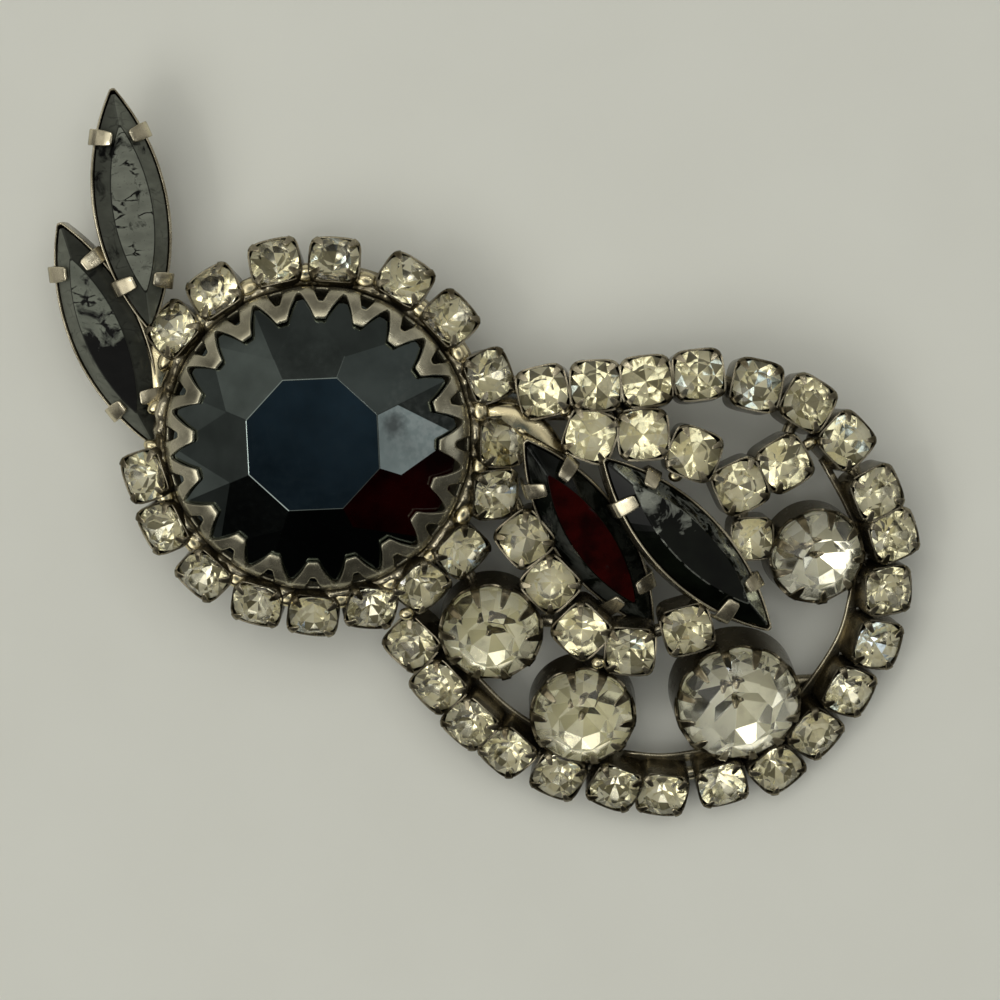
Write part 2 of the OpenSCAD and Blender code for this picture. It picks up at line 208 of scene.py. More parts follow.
    def loop_seats(self) -> list[Seat]:
        """Seats of the small cups on the outer loop."""
        return [self.wing_seat(*row) for row in self.loop]

    def inner_seats(self) -> list[Seat]:
        """Seats of the small cups inside the wing."""
        return [self.wing_seat(*row) for row in self.inner]

    def round_seats(self) -> list[Seat]:
        """Seats of the four larger round stones."""
        return [Seat(turn_x(row.lean_x) @ turn_y(row.lean_y), self.at(*row[:3])) for row in self.rounds]

    def navette_seats(self) -> list[Seat]:
        """Seats of the four pointed oval stones."""
        return [Seat(turn_z(heading) @ turn_y(dip) @ turn_x(-lean), self.at(x, y, z))
                for x, y, z, heading, dip, lean in self.navettes]


# Surfaces and meshes


def unit(vectors: Array) -> Array:
    """The vectors, each divided by its length."""
    return vectors / np.linalg.norm(vectors, axis=-1, keepdims=True)


def smooth_step(low: float, high: float, value: Array) -> Array:
    """0 below low, 1 above high and an even s curve between."""
    share = np.clip((value - low) / (high - low), 0, 1)
    return share * share * (3 - 2 * share)


def grid_faces(rows: int, columns: int) -> Array:
    """Four-cornered faces of a grid of points whose last column joins the first.

    Args:
        rows: number of rows, the second parameter of the surface.
        columns: number of columns, the first parameter.

    Returns:
        Indices of the corners, one face a row.
    """
    low = np.arange(rows - 1)[:, None] * columns
    here = np.arange(columns)[None, :]
    there = (here + 1) % columns
    return np.stack([low + here, low + there, low + columns + there, low + columns + here], -1).reshape(-1, 4)


def closed_faces(rows: int, columns: int) -> list[Array]:
    """Faces of such a grid with a flat cap over its first row and one over its last."""
    return [grid_faces(rows, columns), np.arange(columns)[::-1], np.arange(columns) + (rows - 1) * columns]


@dataclass
class Skin:
    """Surfaces gathered for one mesh, with a wear value at each point and a tone value on each face."""

    points: list[Array] = field(default_factory=list)
    faces: list[list[int]] = field(default_factory=list)
    kinds: list[Array] = field(default_factory=list)
    smooth: list[Array] = field(default_factory=list)
    wear_and_shade: list[Array] = field(default_factory=list)
    tone: list[Array] = field(default_factory=list)
    count: int = 0

    def add(self, points: Array, faces: list[Array], kind: Array | int = 0, smooth: bool = True,
            wear_and_shade: Array | float = 0.0, tone: Array | float = 0.5) -> None:
        """Adds one surface.

        Args:
            points: its points, in millimetres.
            faces: arrays of corner indices into points, one array for each number of corners.
            kind: number of its material, one for all its faces or one a face.
            smooth: whether its faces shade smoothly.
            wear_and_shade: how bright each point is, from 0 to 1: real wear, and on the metal also painted
                highlights on edges and painted shade in recesses.
            tone: the shade of this one copy, or of each of its faces.
        """
        rows = [row for group in faces for row in (np.atleast_2d(group) + self.count).tolist()]
        self.faces += rows
        self.kinds.append(np.broadcast_to(np.asarray(kind, np.int32), (len(rows),)))
        self.smooth.append(np.full(len(rows), smooth))
        self.points.append(points)
        self.wear_and_shade.append(np.broadcast_to(np.asarray(wear_and_shade, float), (len(points),)))
        self.tone.append(np.broadcast_to(np.asarray(tone, float), (len(rows),)))
        self.count += len(points)

    def make(self, name: str, materials: list[Material], slot: str, *nodes: str) -> Piece:
        """Makes the mesh and puts it in the scene, riding on the brooch.

        Args:
            name: name of the piece.
            materials: its materials, in the order of the kinds.
            slot: name of a material slot of the record; not used.
            nodes: the CAD nodes that it stands for.

        Returns:
            The new object.
        """
        mesh = bpy.data.meshes.new(name)
        mesh.from_pydata((np.concatenate(self.points) * MM).tolist(), [], self.faces)
        mesh.polygons.foreach_set("material_index", np.concatenate(self.kinds))
        mesh.polygons.foreach_set("use_smooth", np.concatenate(self.smooth))
        for label, domain, values in (("wear_and_shade", "POINT", self.wear_and_shade), ("tone", "FACE", self.tone)):
            layer = mesh.attributes.new(label, "FLOAT", domain)
            layer.data.foreach_set("value", np.concatenate(values).astype(np.float32))
        for material in materials:
            mesh.materials.append(material)
        mesh.update()
        piece = bpy.data.objects.new(name, mesh)
        bpy.context.scene.collection.objects.link(piece)
        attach(piece, "root")
        if nodes:
            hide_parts(*nodes)
        LOG.info("%s: %d faces, stands for %s", name, len(self.faces), ", ".join(nodes) or "no node")
        return piece


def finish_edges(piece: Piece, width: float, segments: int = 2) -> None:
    """Rounds a piece's sharp edges with a live bevel.

    Args:
        piece: the piece.
        width: width of the bevel in millimetres.
        segments: number of its steps.
    """
    bevel = piece.modifiers.new("worn_edges", "BEVEL")
    bevel.width = width * MM
    bevel.segments = segments
    bevel.limit_method = "ANGLE"
    bevel.angle_limit = math.radians(12)
    bevel.harden_normals = True


@dataclass(frozen=True)
class Bend:
    """Side path of a strip of metal: a straight wall, a round bend inwards and a straight end.

    Along the wall the strip climbs from -depth to top. It then turns through angle degrees on an arc of the
    given radius, and goes on straight. The place at arc length s is given as the distance inwards from the
    wall and the height, and the outward normal leans by the angle turned so far.
    """

    depth: float
    top: float
    radius: float
    angle: float
    sheet: float

    def at(self, s: Array, inside: Array) -> tuple[Array, Array]:
        """The place at arc length s.

        Args:
            s: arc lengths up the strip.
            inside: how deep in the sheet the place lies, 0 on its outer skin and 1 on its inner one.

        Returns:
            Distances inwards and heights.
        """
        wall = self.depth + self.top
        full = math.radians(self.angle)
        lean = np.clip((s - wall) / self.radius, 0, full)
        rest = np.maximum(s - wall - self.radius * full, 0)
        inwards = self.radius * (1 - np.cos(lean)) + rest * math.sin(full)
        height = np.minimum(s, wall) - self.depth + self.radius * np.sin(lean) + rest * math.cos(full)
        cut = inside * self.sheet
        return inwards + cut * np.cos(lean), height - cut * np.sin(lean)


def cup_surface(bend: Bend, angles: Array, outline: Array, lengths: Array, low: float, floor: float,
                claw: Array) -> tuple[Array, list[Array], Array]:
    """Closed skin of a cup whose rim runs up into bent claws.

    The outer skin climbs the side path to lengths, rounds the edge, comes back down inside to the floor and
    ends in a flat floor; the first parameter goes round the outline, the second along that path.

    Args:
        bend: side path of the sheet.
        angles: direction of each column, in radians.
        outline: outer radius of the cup in each direction.
        lengths: arc length of the sheet in each direction, long at the claws.
        low: arc length below which the wall's rows are level.
        floor: thickness of the floor.
        claw: 1 in the directions of the claws, whose tips get the most wear_and_shade, and 0 between them.

    Returns:
        Points, faces and the wear of each point.
    """
    rising = [low + (lengths - low) * share for share in (0.12, 0.25, 0.38, 0.5, 0.62, 0.74, 0.85, 0.94)]
    edge = lengths - 0.3 * bend.sheet
    outer = [np.full_like(lengths, s) for s in (0.0, 0.06, 0.5 * low, low)] + rising
    inner = rising[::-1] + [np.full_like(lengths, s) for s in (low, 0.5 * low, floor + 0.08, floor)]
    inside = np.array([0.0] * (len(outer) + 1) + [0.3, 0.7] + [1.0] * (len(inner) + 1))
    inwards, height = bend.at(np.array([*outer, edge, lengths, lengths, edge, *inner]), inside[:, None])
    radius = outline[None, :] - inwards
    radius = np.vstack([0.3 * radius[:1], 0.92 * radius[:1], radius, 0.8 * radius[-1:], 0.3 * radius[-1:]])
    height = np.vstack([height[:1], height[:1], height, height[-1:], height[-1:]])
    grid = np.stack([radius * np.cos(angles), radius * np.sin(angles), height], -1)
    # Wear and shade of the rows: it grows up the outside, is greatest on the edge and slight inside; the low
    # rows and the inside are painted shade, the edge real wear with a painted highlight
    wear_and_shade_values = [0] * 6 + [0.1] * 5 + [0.15, 0.2, 0.3, 0.9, 1, 0.8, 0.4] + [0.05] * 12 + [0, 0]
    faces = closed_faces(len(grid), len(angles))
    return grid.reshape(-1, 3), faces, np.outer(wear_and_shade_values, 0.25 + 0.75 * claw).reshape(-1)


def tube(path: Array, radius: Array | float, sides: int = 12) -> Shape:
    """Closed round wire along a path: each section is a circle across the path's direction there.

    Args:
        path: points that the wire follows.
        radius: radius of the wire, one value or one a point.
        sides: number of sides of a section.

    Returns:
        Points and faces.
    """
    ahead = unit(np.gradient(path, axis=0))
    side = np.cross(ahead, [0.0, 0.0, 1.0])
    upright = np.linalg.norm(side, axis=1) < 1e-3
    side[upright] = np.cross(ahead[upright], [0.0, 1.0, 0.0])
    side = unit(side)
    up = np.cross(side, ahead)
    angle = np.arange(sides) * 2 * math.pi / sides
    circle = np.cos(angle)[:, None] * side[:, None, :] + np.sin(angle)[:, None] * up[:, None, :]
    reach = np.broadcast_to(np.asarray(radius, float), (len(path),))[:, None, None]
    return (path[:, None, :] + reach * circle).reshape(-1, 3), closed_faces(len(path), sides)


def strap(path: Array, width: Array | float, thick: float, across: Array) -> Shape:
    """Closed flat strip along a path, with rounded long edges.

    Args:
        path: points that the middle of the strip follows.
        width: width of the strip, one value or one a point.
        thick: thickness of the strip.
        across: direction of its width.

    Returns:
        Points and faces.
    """
    ahead, across = unit(np.gradient(path, axis=0)), unit(across)
    up = np.cross(ahead, across)
    half = np.broadcast_to(np.asarray(width, float), (len(path),))[:, None] / 2
    section = np.array([[-1, -0.2], [-0.97, -0.42], [-0.85, -0.5], [0.85, -0.5], [0.97, -0.42], [1, -0.2],
                        [1, 0.2], [0.97, 0.42], [0.85, 0.5], [0, 0.5], [-0.85, 0.5], [-0.97, 0.42],
                        [-1, 0.2]])
    wide = (half * section[:, 0])[:, :, None] * across
    grid = path[:, None, :] + wide + (thick * section[:, 1])[:, None] * up[:, None, :]
    return grid.reshape(-1, 3), closed_faces(len(path), len(section))


def turned(profile: Line, middle: Array, steps: int = 96) -> Shape:
    """Closed ring: a closed side profile turned about the vertical.

    Args:
        profile: radii and heights, listed anticlockwise.
        middle: the place that it is turned about.
        steps: number of steps round it.

    Returns:
        Points and faces.
    """
    angle = np.arange(steps) * 2 * math.pi / steps
    r, z = np.array(profile).T[:, :, None]
    points = (np.stack([r * np.cos(angle), r * np.sin(angle), z + 0 * angle], -1) + middle).reshape(-1, 3)
    return points, [grid_faces(len(profile) + 1, steps) % len(points)]


def pillow(outline: Array, bottom: float, top: float, rings: int = 6) -> Shape:
    """Blob of solder over an outline: rings shrink to the middle while the height follows a quarter ellipse.

    Args:
        outline: points of the outline in the plane, anticlockwise, whose corners are cut three times.
        bottom: height of its flat underside.
        top: height of its middle.
        rings: number of rings.

    Returns:
        Points and faces.
    """
    for _ in range(3):
        after = np.roll(outline, -1, axis=0)
        outline = np.stack([0.75 * outline + 0.25 * after, 0.25 * outline + 0.75 * after], 1).reshape(-1, 2)
    centre = outline.mean(0)
    turn = np.linspace(0, math.pi / 2, rings + 1)[1:-1]
    scale = np.concatenate([[0.4, 1.0], np.cos(turn), [0.12]])
    height = bottom + (top - bottom) * np.concatenate([[0.0, 0.0], 0.5 + 0.5 * np.sin(turn), [1.0]])
    flat = centre + scale[:, None, None] * (outline - centre)
    grid = np.concatenate([flat, np.broadcast_to(height[:, None, None], (*flat.shape[:2], 1))], -1)
    return grid.reshape(-1, 3), closed_faces(len(grid), len(outline))


def bead(middle: Array, size: Array, turn: Array, rings: int = 8, sides: int = 14) -> Shape:
    """Closed ball of solder: an ellipsoid.

    Args:
        middle: its middle.
        size: its half sizes.
        turn: matrix of its turn.
        rings: number of rings of points between its poles.
        sides: number of points on a ring.

    Returns:
        Points and faces.
    """
    polar = np.linspace(math.pi, 0, rings + 2)[1:-1, None]
    angle = np.arange(sides) * 2 * math.pi / sides
    out = np.sin(polar)
    ball = np.stack([out * np.cos(angle), out * np.sin(angle), np.cos(polar) + 0 * angle], -1)
    return (ball.reshape(-1, 3) * size) @ turn.T + middle, closed_faces(rings, sides)


def rounded(path: Array, times: int) -> Array:
    """An open path with its corners cut: each step puts two points on every piece, a quarter from its ends.

    Args:
        path: points of the path.
        times: number of steps.

    Returns:
        Points of the rounder path, which keeps its ends.
    """
    for _ in range(times):
        before, after = path[:-1], path[1:]
        inner = np.stack([0.75 * before + 0.25 * after, 0.25 * before + 0.75 * after], 1)
        path = np.vstack([path[:1], inner.reshape(-1, path.shape[1])[1:-1], path[-1:]])
    return path


# Finishes


def feed(tree: Tree, target: Node, inputs: dict) -> None:
    """Gives a node its inputs.

    Args:
        tree: the tree that it is in.
        target: the node.
        inputs: inputs by name or number, each a number, a colour, a vector or a socket that feeds it.
    """
    for key, value in inputs.items():
        socket = target.inputs[key]
        if isinstance(value, Socket):
            tree.links.new(value, socket)
        else:
            socket.default_value = (*value, 1.0) if socket.type == "RGBA" else value


def node(tree: Tree, kind: str, inputs: dict | None = None, **settings: object) -> Node:
    """Adds a shader node.

    Args:
        tree: the tree that it goes into.
        kind: its type name.
        inputs: its inputs, as feed takes them.
        settings: its own settings by name.

    Returns:
        The new node.
    """
    made = tree.nodes.new(kind)
    for key, value in settings.items():
        setattr(made, key, value)
    feed(tree, made, inputs or {})
    return made


def maths(tree: Tree, operation: str, *values: float | Socket, clamp: bool = False) -> Socket:
    """A sum on numbers or sockets, held between 0 and 1 if clamp is set."""
    made = node(tree, "ShaderNodeMath", dict(enumerate(values)), operation=operation, use_clamp=clamp)
    return made.outputs[0]


def ranged(tree: Tree, value: Socket, low: float, high: float, start: float = 0.0,
           end: float = 1.0) -> Socket:
    """A number that runs from start to end while the value runs from low to high."""
    inputs = {"Value": value, "From Min": low, "From Max": high, "To Min": start, "To Max": end}
    return node(tree, "ShaderNodeMapRange", inputs).outputs[0]


def blend(tree: Tree, share: Socket, low: Colour | Socket, high: Colour | Socket) -> Socket:
    """A colour between low and high by share."""
    return node(tree, "ShaderNodeMix", {0: share, 6: low, 7: high}, data_type="RGBA").outputs[2]


def noise(tree: Tree, vector: Socket, scale: float | Socket, detail: float, roughness: float = 0.5,
          distortion: float = 0.0) -> Node:
    """A noise texture, with Fac and Color as its outputs."""
    return node(tree, "ShaderNodeTexNoise", {"Vector": vector, "Scale": scale, "Detail": detail,
                                             "Roughness": roughness, "Distortion": distortion})


def vectors(tree: Tree, operation: str, inputs: dict, output: str = "Vector") -> Socket:
    """A sum on vectors, whose result is read at the named output."""
    return node(tree, "ShaderNodeVectorMath", inputs, operation=operation).outputs[output]


def bump(tree: Tree, height: Socket, strength: float, distance: float) -> Socket:
    """The normal of a surface with the height on it, distance being in metres."""
    inputs = {"Height": height, "Strength": strength, "Distance": distance}
    return node(tree, "ShaderNodeBump", inputs).outputs["Normal"]


def stored(tree: Tree, name: str) -> Socket:
    """A value kept on the mesh, wear or tone."""
    return node(tree, "ShaderNodeAttribute", attribute_name=name).outputs["Fac"]


def scaled(colour: Colour, factor: float) -> Colour:
    """The colour, brighter or darker."""
    return tuple(factor * part for part in colour)


def new_group(name: str, inputs: dict[str, object], outputs: dict[str, str]) -> tuple[Tree, Node, Node]:
    """Starts a shader node group.

    Args:
        name: name of the effect.
        inputs: its inputs, a number for a value, three numbers for a colour and None for a vector.
        outputs: its outputs by name, with their socket types.

    Returns:
        The group, its input node and its output node.
    """
    group = bpy.data.node_groups.new(name, "ShaderNodeTree")
    for label, value in inputs.items():
        kind = "NodeSocketVector" if value is None else "NodeSocketFloat"
        if isinstance(value, tuple):
            kind = "NodeSocketColor"
        socket = group.interface.new_socket(label, in_out="INPUT", socket_type=kind)
        if value is not None:
            socket.default_value = (*value, 1.0) if isinstance(value, tuple) else value
    for label, kind in outputs.items():
        group.interface.new_socket(label, in_out="OUTPUT", socket_type=kind)
    return group, group.nodes.new("NodeGroupInput"), group.nodes.new("NodeGroupOutput")


def tarnish_group() -> Tree:
    """Tarnish on metal, led by wear_and_shade: bright for real wear and painted highlights on edges, dull for
    tarnish and painted shade in the recesses, with fine and coarse mottling.

    Returns:
        The group, with the colour, the roughness and the height of the fine mottling.
    """
    group, given, out = new_group(
        "Tarnish", {"Vector": None, "Wear_and_shade": 0.5, "Bright": (0.6, 0.55, 0.45), "Dull": (0.1, 0.09, 0.07),
                    "Scale": 1500.0},
        {"Color": "NodeSocketColor", "Roughness": "NodeSocketFloat", "Height": "NodeSocketFloat"})
    vector, wear_and_shade, bright, dull, scale = given.outputs[:5]
    fine = noise(group, vector, scale, detail=4.0, roughness=0.6).outputs["Fac"]
    coarse = noise(group, vector, maths(group, "MULTIPLY", scale, 0.28), detail=2.0).outputs["Fac"]
    mask = maths(group, "ADD", wear_and_shade, maths(group, "MULTIPLY_ADD", coarse, 1.5, -0.85))
    mask = maths(group, "MULTIPLY_ADD", fine, 0.5, mask, clamp=True)
    feed(group, out, {"Color": blend(group, mask, dull, bright),
                      "Roughness": ranged(group, fine, 0.3, 0.7, 0.13, 0.33), "Height": fine})
    return group


def worn_coat_group() -> Tree:
    """Worn metallic coating on dark glass: islands of coating, cracked lines through them and fine scuffs.

    Returns:
        The group, with masks of the coating, of its cracks and of the scuffs, and a broad cloud.
    """
    group, given, out = new_group(
        "Worn coating", {"Vector": None, "Cover": 0.5, "Scale": 400.0, "Stretch": 1.0},
        dict.fromkeys(("Cover", "Cracks", "Scuffs", "Cloud"), "NodeSocketFloat"))
    vector, cover, scale, stretch = given.outputs[:4]
    islands = noise(group, vector, scale, detail=6.0, roughness=0.62, distortion=0.6).outputs["Fac"]
    along = node(group, "ShaderNodeCombineXYZ", {0: 1.0, 1: stretch, 2: 1.0}).outputs[0]
    pulled = vectors(group, "MULTIPLY", {0: vector, 1: along})
    broad = maths(group, "MULTIPLY", scale, 1.3)
    bent = noise(group, pulled, broad, detail=3.0)
    moved = vectors(group, "SCALE", {0: bent.outputs["Color"], "Scale": 0.0012})
    place = vectors(group, "ADD", {0: pulled, 1: moved})
    cells = node(group, "ShaderNodeTexVoronoi", {"Vector": place, "Scale": broad}, feature="DISTANCE_TO_EDGE")
    lines = ranged(group, cells.outputs["Distance"], 0.03, 0.075, 1.0, 0.0)
    kept = ranged(group, bent.outputs["Fac"], 0.53, 0.6)
    scuffs = noise(group, vector, maths(group, "MULTIPLY", scale, 9.0), detail=4.0)
    feed(group, out, {"Cover": ranged(group, maths(group, "ADD", islands, cover), 0.94, 1.04),
                      "Cracks": maths(group, "MULTIPLY", lines, kept), "Scuffs": scuffs.outputs["Fac"],
                      "Cloud": bent.outputs["Fac"]})
    return group


def start_material(name: str) -> tuple[Material, Tree, Node, Socket]:
    """Starts a material.

    Args:
        name: its name.

    Returns:
        The material, its tree, its Principled shader and the object's own coordinates.
    """
    material = bpy.data.materials.new(name)
    material.use_nodes = True
    tree = material.node_tree
    return material, tree, tree.nodes["Principled BSDF"], node(tree, "ShaderNodeTexCoord").outputs["Object"]


@dataclass(frozen=True)
class MetalFinish:
    """Tarnished plated metal, bright on edges of high wear_and_shade, real wear with a painted highlight. The
    film is the share that shines like paint.
    """

    name: str
    bright: Colour
    dull: Colour
    scale: float
    bump: float
    film: float = 0.0

    def material(self, tarnish: Tree) -> Material:
        """The finish as a material.

        Args:
            tarnish: the shared effect.

        Returns:
            The new material.
        """
        material, tree, shader, coordinates = start_material(self.name)
        inputs = {"Vector": coordinates, "Wear_and_shade": stored(tree, "wear_and_shade"), "Bright": self.bright,
                  "Dull": self.dull, "Scale": self.scale}
        effect = node(tree, "ShaderNodeGroup", inputs, node_tree=tarnish).outputs
        feed(tree, shader, {"Base Color": effect["Color"], "Roughness": effect["Roughness"],
                            "Normal": bump(tree, effect["Height"], self.bump, 0.00004),
                            "Metallic": 1.0 - self.film})
        return material


@dataclass(frozen=True)
class ClearFinish:
    """Pale yellowed glass of a silvered rhinestone, with a little grime."""

    name: str
    tint: Colour
    roughness: float
    grime: float = 0.1

    def material(self) -> Material:
        """The finish as a material.

        Returns:
            The new material.
        """
        material, tree, shader, coordinates = start_material(self.name)
        dirt = noise(tree, coordinates, 900.0, detail=3.0).outputs["Fac"]
        rough = ranged(tree, dirt, 0.45, 0.75, self.roughness, self.roughness + self.grime)
        feed(tree, shader, {"Base Color": self.tint, "Roughness": rough, "Transmission Weight": 1.0,
                            "IOR": 1.57})
        return material


@dataclass(frozen=True)
class FoilFinish:
    """Silvering behind a rhinestone: some facets still mirror, others have gone matt, pale or yellowed.

    A facet's tone runs from dark through aged to fresh_and_sparkle: uneven aged silvering, and also painted
    sparkle and painted shade. Above mirror it mirrors, and above 1 in painted_flash_tint, a painted coloured
    flash.
    """

    name: str
    dark: Colour
    aged: Colour
    fresh_and_sparkle: Colour
    mirror: float = 0.66
    middle: float = 0.4
    painted_flash_tint: Colour = (0.74, 0.86, 1.0)
    stain: float = 0.45

    def material(self) -> Material:
        """The finish as a material.

        Returns:
            The new material.
        """
        material, tree, shader, coordinates = start_material(self.name)
        tone = stored(tree, "tone")
        spots = noise(tree, coordinates, 1300.0, detail=3.0).outputs["Fac"]
        # Matt facets from dark to pale: uneven aged silvering, and also painted sparkle and painted shade.
        colour = blend(tree, ranged(tree, tone, 0.0, self.middle), self.dark, self.aged)
        colour = blend(tree, ranged(tree, tone, self.middle, self.mirror), colour, self.fresh_and_sparkle)
        # Tones above 1 take a painted coloured flash.
        colour = blend(tree, ranged(tree, tone, 1.0, 1.2), colour, self.painted_flash_tint)
        colour = blend(tree, ranged(tree, spots, 0.55, 0.8, 0.0, self.stain), colour, self.dark)
        step = (self.mirror - 0.02, self.mirror)
        feed(tree, shader, {"Base Color": colour, "Metallic": ranged(tree, tone, *step, 0.1, 1.0),
                            "Roughness": ranged(tree, tone, *step, 0.6, 0.14)})
        return material


@dataclass(frozen=True)
class CoatedFinish:
    """Dark glass under a thin coating, cracked and rubbed off in places.

    The coating goes on faces of a low tone, in the islands that cover leaves out and along cracks, which are
    faint on faces of a middle tone. On faces of a high tone it also goes where wear_and_shade is high, by the
    share gone. Scuffs whiten it where wear_and_shade is high, and round the place of the chip it is dull.
    """

    name: str
    coating: Colour
    glass: Colour
    cover: float
    scale: float
    rough: tuple[float, float]
    crack: float
    metal: float = 1.0
    scuff: float = 0.0
    gone: float = 0.0
    stretch: float = 1.0
    shine: float = 0.5
    chip: Colour = (0.0, 0.0, 0.0)
    whitened: Colour = (0.46, 0.48, 0.455)
    chipped: Colour = (0.03, 0.032, 0.03)
    bare_rough: float = 0.06

    def material(self, worn_coat: Tree) -> Material:
        """The finish as a material.

        Args:
            worn_coat: the shared effect.

        Returns:
            The new material.
        """
        material, tree, shader, coordinates = start_material(self.name)
        tone, wear_and_shade = stored(tree, "tone"), stored(tree, "wear_and_shade")
        loss = ranged(tree, tone, 0.6, 0.9, 0.0, -self.gone)
        cover = maths(tree, "MULTIPLY_ADD", ranged(tree, wear_and_shade, 0.0, 1.0), loss, self.cover)
        inputs = {"Vector": coordinates, "Cover": cover, "Scale": self.scale, "Stretch": self.stretch}
        effect = node(tree, "ShaderNodeGroup", inputs, node_tree=worn_coat).outputs
        deep = ranged(tree, tone, 0.5, 0.9, 0.35 * self.crack, self.crack)
        cracks = maths(tree, "MULTIPLY", effect["Cracks"], deep)
        kept = maths(tree, "SUBTRACT", effect["Cover"], cracks, clamp=True)
        kept = maths(tree, "MULTIPLY", kept, ranged(tree, tone, 0.05, 0.4))
        rubbed = maths(tree, "MULTIPLY", ranged(tree, effect["Scuffs"], 0.4, 0.62, 0.0, self.scuff), wear_and_shade)
        cloud = ranged(tree, effect["Cloud"], 0.35, 0.65)
        coat = blend(tree, cloud, scaled(self.coating, 0.8), scaled(self.coating, 1.15))
        coat = blend(tree, rubbed, coat, self.whitened)
        apart = vectors(tree, "DISTANCE", {0: coordinates, 1: self.chip}, "Value")
        ragged = maths(tree, "MULTIPLY_ADD", effect["Scuffs"], 0.0011, apart)
        coat = blend(tree, ranged(tree, ragged, 0.0008, 0.0016, 0.25, 1.0), self.chipped, coat)
        glass = blend(tree, cloud, scaled(self.glass, 0.3), scaled(self.glass, 1.2))
        dull = ranged(tree, effect["Scuffs"], 0.3, 0.7, *self.rough)
        rough = maths(tree, "MULTIPLY_ADD", rubbed, 0.25, dull)
        even = node(tree, "ShaderNodeMix", {0: kept, 2: self.bare_rough, 3: rough}).outputs[0]
        feed(tree, shader, {"Base Color": blend(tree, kept, glass, coat), "Roughness": even, "IOR": 1.5,
                            "Metallic": maths(tree, "MULTIPLY", kept, self.metal),
                            "Normal": bump(tree, kept, 0.25, 0.00003), "Specular IOR Level": self.shine})
        return material


@dataclass
class Workshop:
    """Every finish of the brooch, made once."""

    frame_metal: Material = field(init=False)
    crown_metal: Material = field(init=False)
    pin_metal: Material = field(init=False)
    solder: Material = field(init=False)
    clear: Material = field(init=False)
    foil: Material = field(init=False)
    clear_foil: Material = field(init=False)
    aged_foil: Material = field(init=False)
    centre: Material = field(init=False)
    leaf: Material = field(init=False)
    dark_leaf: Material = field(init=False)
    red: Material = field(init=False)
    black: Material = field(init=False)

    def __post_init__(self) -> None:
        """Makes the shared effects and then each material."""
        self.make_metals(tarnish_group())
        self.make_coated(worn_coat_group())
        self.clear = ClearFinish("yellowed_glass", tint=(1.0, 0.99, 0.93), roughness=0.0).material()
        self.foil = FoilFinish("pale_foil", dark=(0.2, 0.18, 0.1), aged=(0.88, 0.82, 0.57),
                               fresh_and_sparkle=(1.0, 0.97, 0.8)).material()
        self.clear_foil = FoilFinish("clear_foil", dark=(0.4, 0.37, 0.25), aged=(0.93, 0.9, 0.68),
                                     fresh_and_sparkle=(1.0, 0.99, 0.86)).material()
        self.aged_foil = FoilFinish("yellowed_foil", dark=(0.44, 0.4, 0.22), aged=(0.95, 0.9, 0.57),
                                    fresh_and_sparkle=(1.0, 0.97, 0.76)).material()

    def make_metals(self, tarnish: Tree) -> None:
        """Makes the four metals.

        Args:
            tarnish: the effect that they share.
        """
        self.frame_metal = MetalFinish(
            "tarnished_frame", bright=(0.74, 0.67, 0.49), dull=(0.09, 0.074, 0.042), scale=1400, bump=0.3,
            film=0.1).material(tarnish)
        self.crown_metal = MetalFinish(
            "tarnished_crown", bright=(0.57, 0.53, 0.39), dull=(0.06, 0.053, 0.03), scale=1000, bump=0.15,
            film=0.14).material(tarnish)
        self.pin_metal = MetalFinish(
            "dull_pin", bright=(0.6, 0.55, 0.44), dull=(0.24, 0.21, 0.16), scale=700,
            bump=0.4).material(tarnish)
        self.solder = MetalFinish(
            "golden_solder", bright=(0.75, 0.66, 0.42), dull=(0.2, 0.16, 0.08), scale=900,
            bump=0.25).material(tarnish)

    def make_coated(self, worn_coat: Tree) -> None:
        """Makes the coated dark glasses.

        Args:
            worn_coat: the effect that they share.
        """
        self.centre = CoatedFinish(
            "coated_dark_glass", coating=(0.135, 0.16, 0.152), glass=(0.009, 0.0003, 0.0003), cover=1.2,
            scale=260, rough=(0.07, 0.12), crack=0.0, scuff=1.0,
            chip=(-0.0061, 0.0029, 0.0096)).material(worn_coat)
        leaf = CoatedFinish(
            "cracked_grey_coating", coating=(0.18, 0.19, 0.155), glass=(0.002, 0.002, 0.0018), cover=0.62,
            scale=560, rough=(0.26, 0.36), crack=1.0, metal=0.3, gone=0.34, stretch=1.8, shine=0.12)
        self.leaf = leaf.material(worn_coat)
        dark_leaf = replace(leaf, name="darker_grey_coating", coating=(0.125, 0.135, 0.108))
        self.dark_leaf = dark_leaf.material(worn_coat)
        self.red = CoatedFinish(
            "dark_red_glass", coating=(0.03, 0.03, 0.03), glass=(0.02, 0.0008, 0.0005), cover=0.27, scale=500,
            rough=(0.08, 0.2), crack=0.3, shine=0.2).material(worn_coat)
        self.black = CoatedFinish(
            "worn_black_glass", coating=(0.36, 0.38, 0.33), glass=(0.003, 0.004, 0.0025), cover=0.47,
            scale=420, rough=(0.12, 0.25), crack=0.9, gone=0.15, shine=0.18).material(worn_coat)


# Stones


class Face(Enum):
    """The two skins of a silvered stone."""

    GLASS = 0
    FOIL = 1


class Part(Enum):
    """The two parts of a pointed oval stone."""

    TABLE = 0
    SIDES = 1


class Metal(Enum):
    """The metals of the links."""

    PLATED = 0
    SOLDER = 1


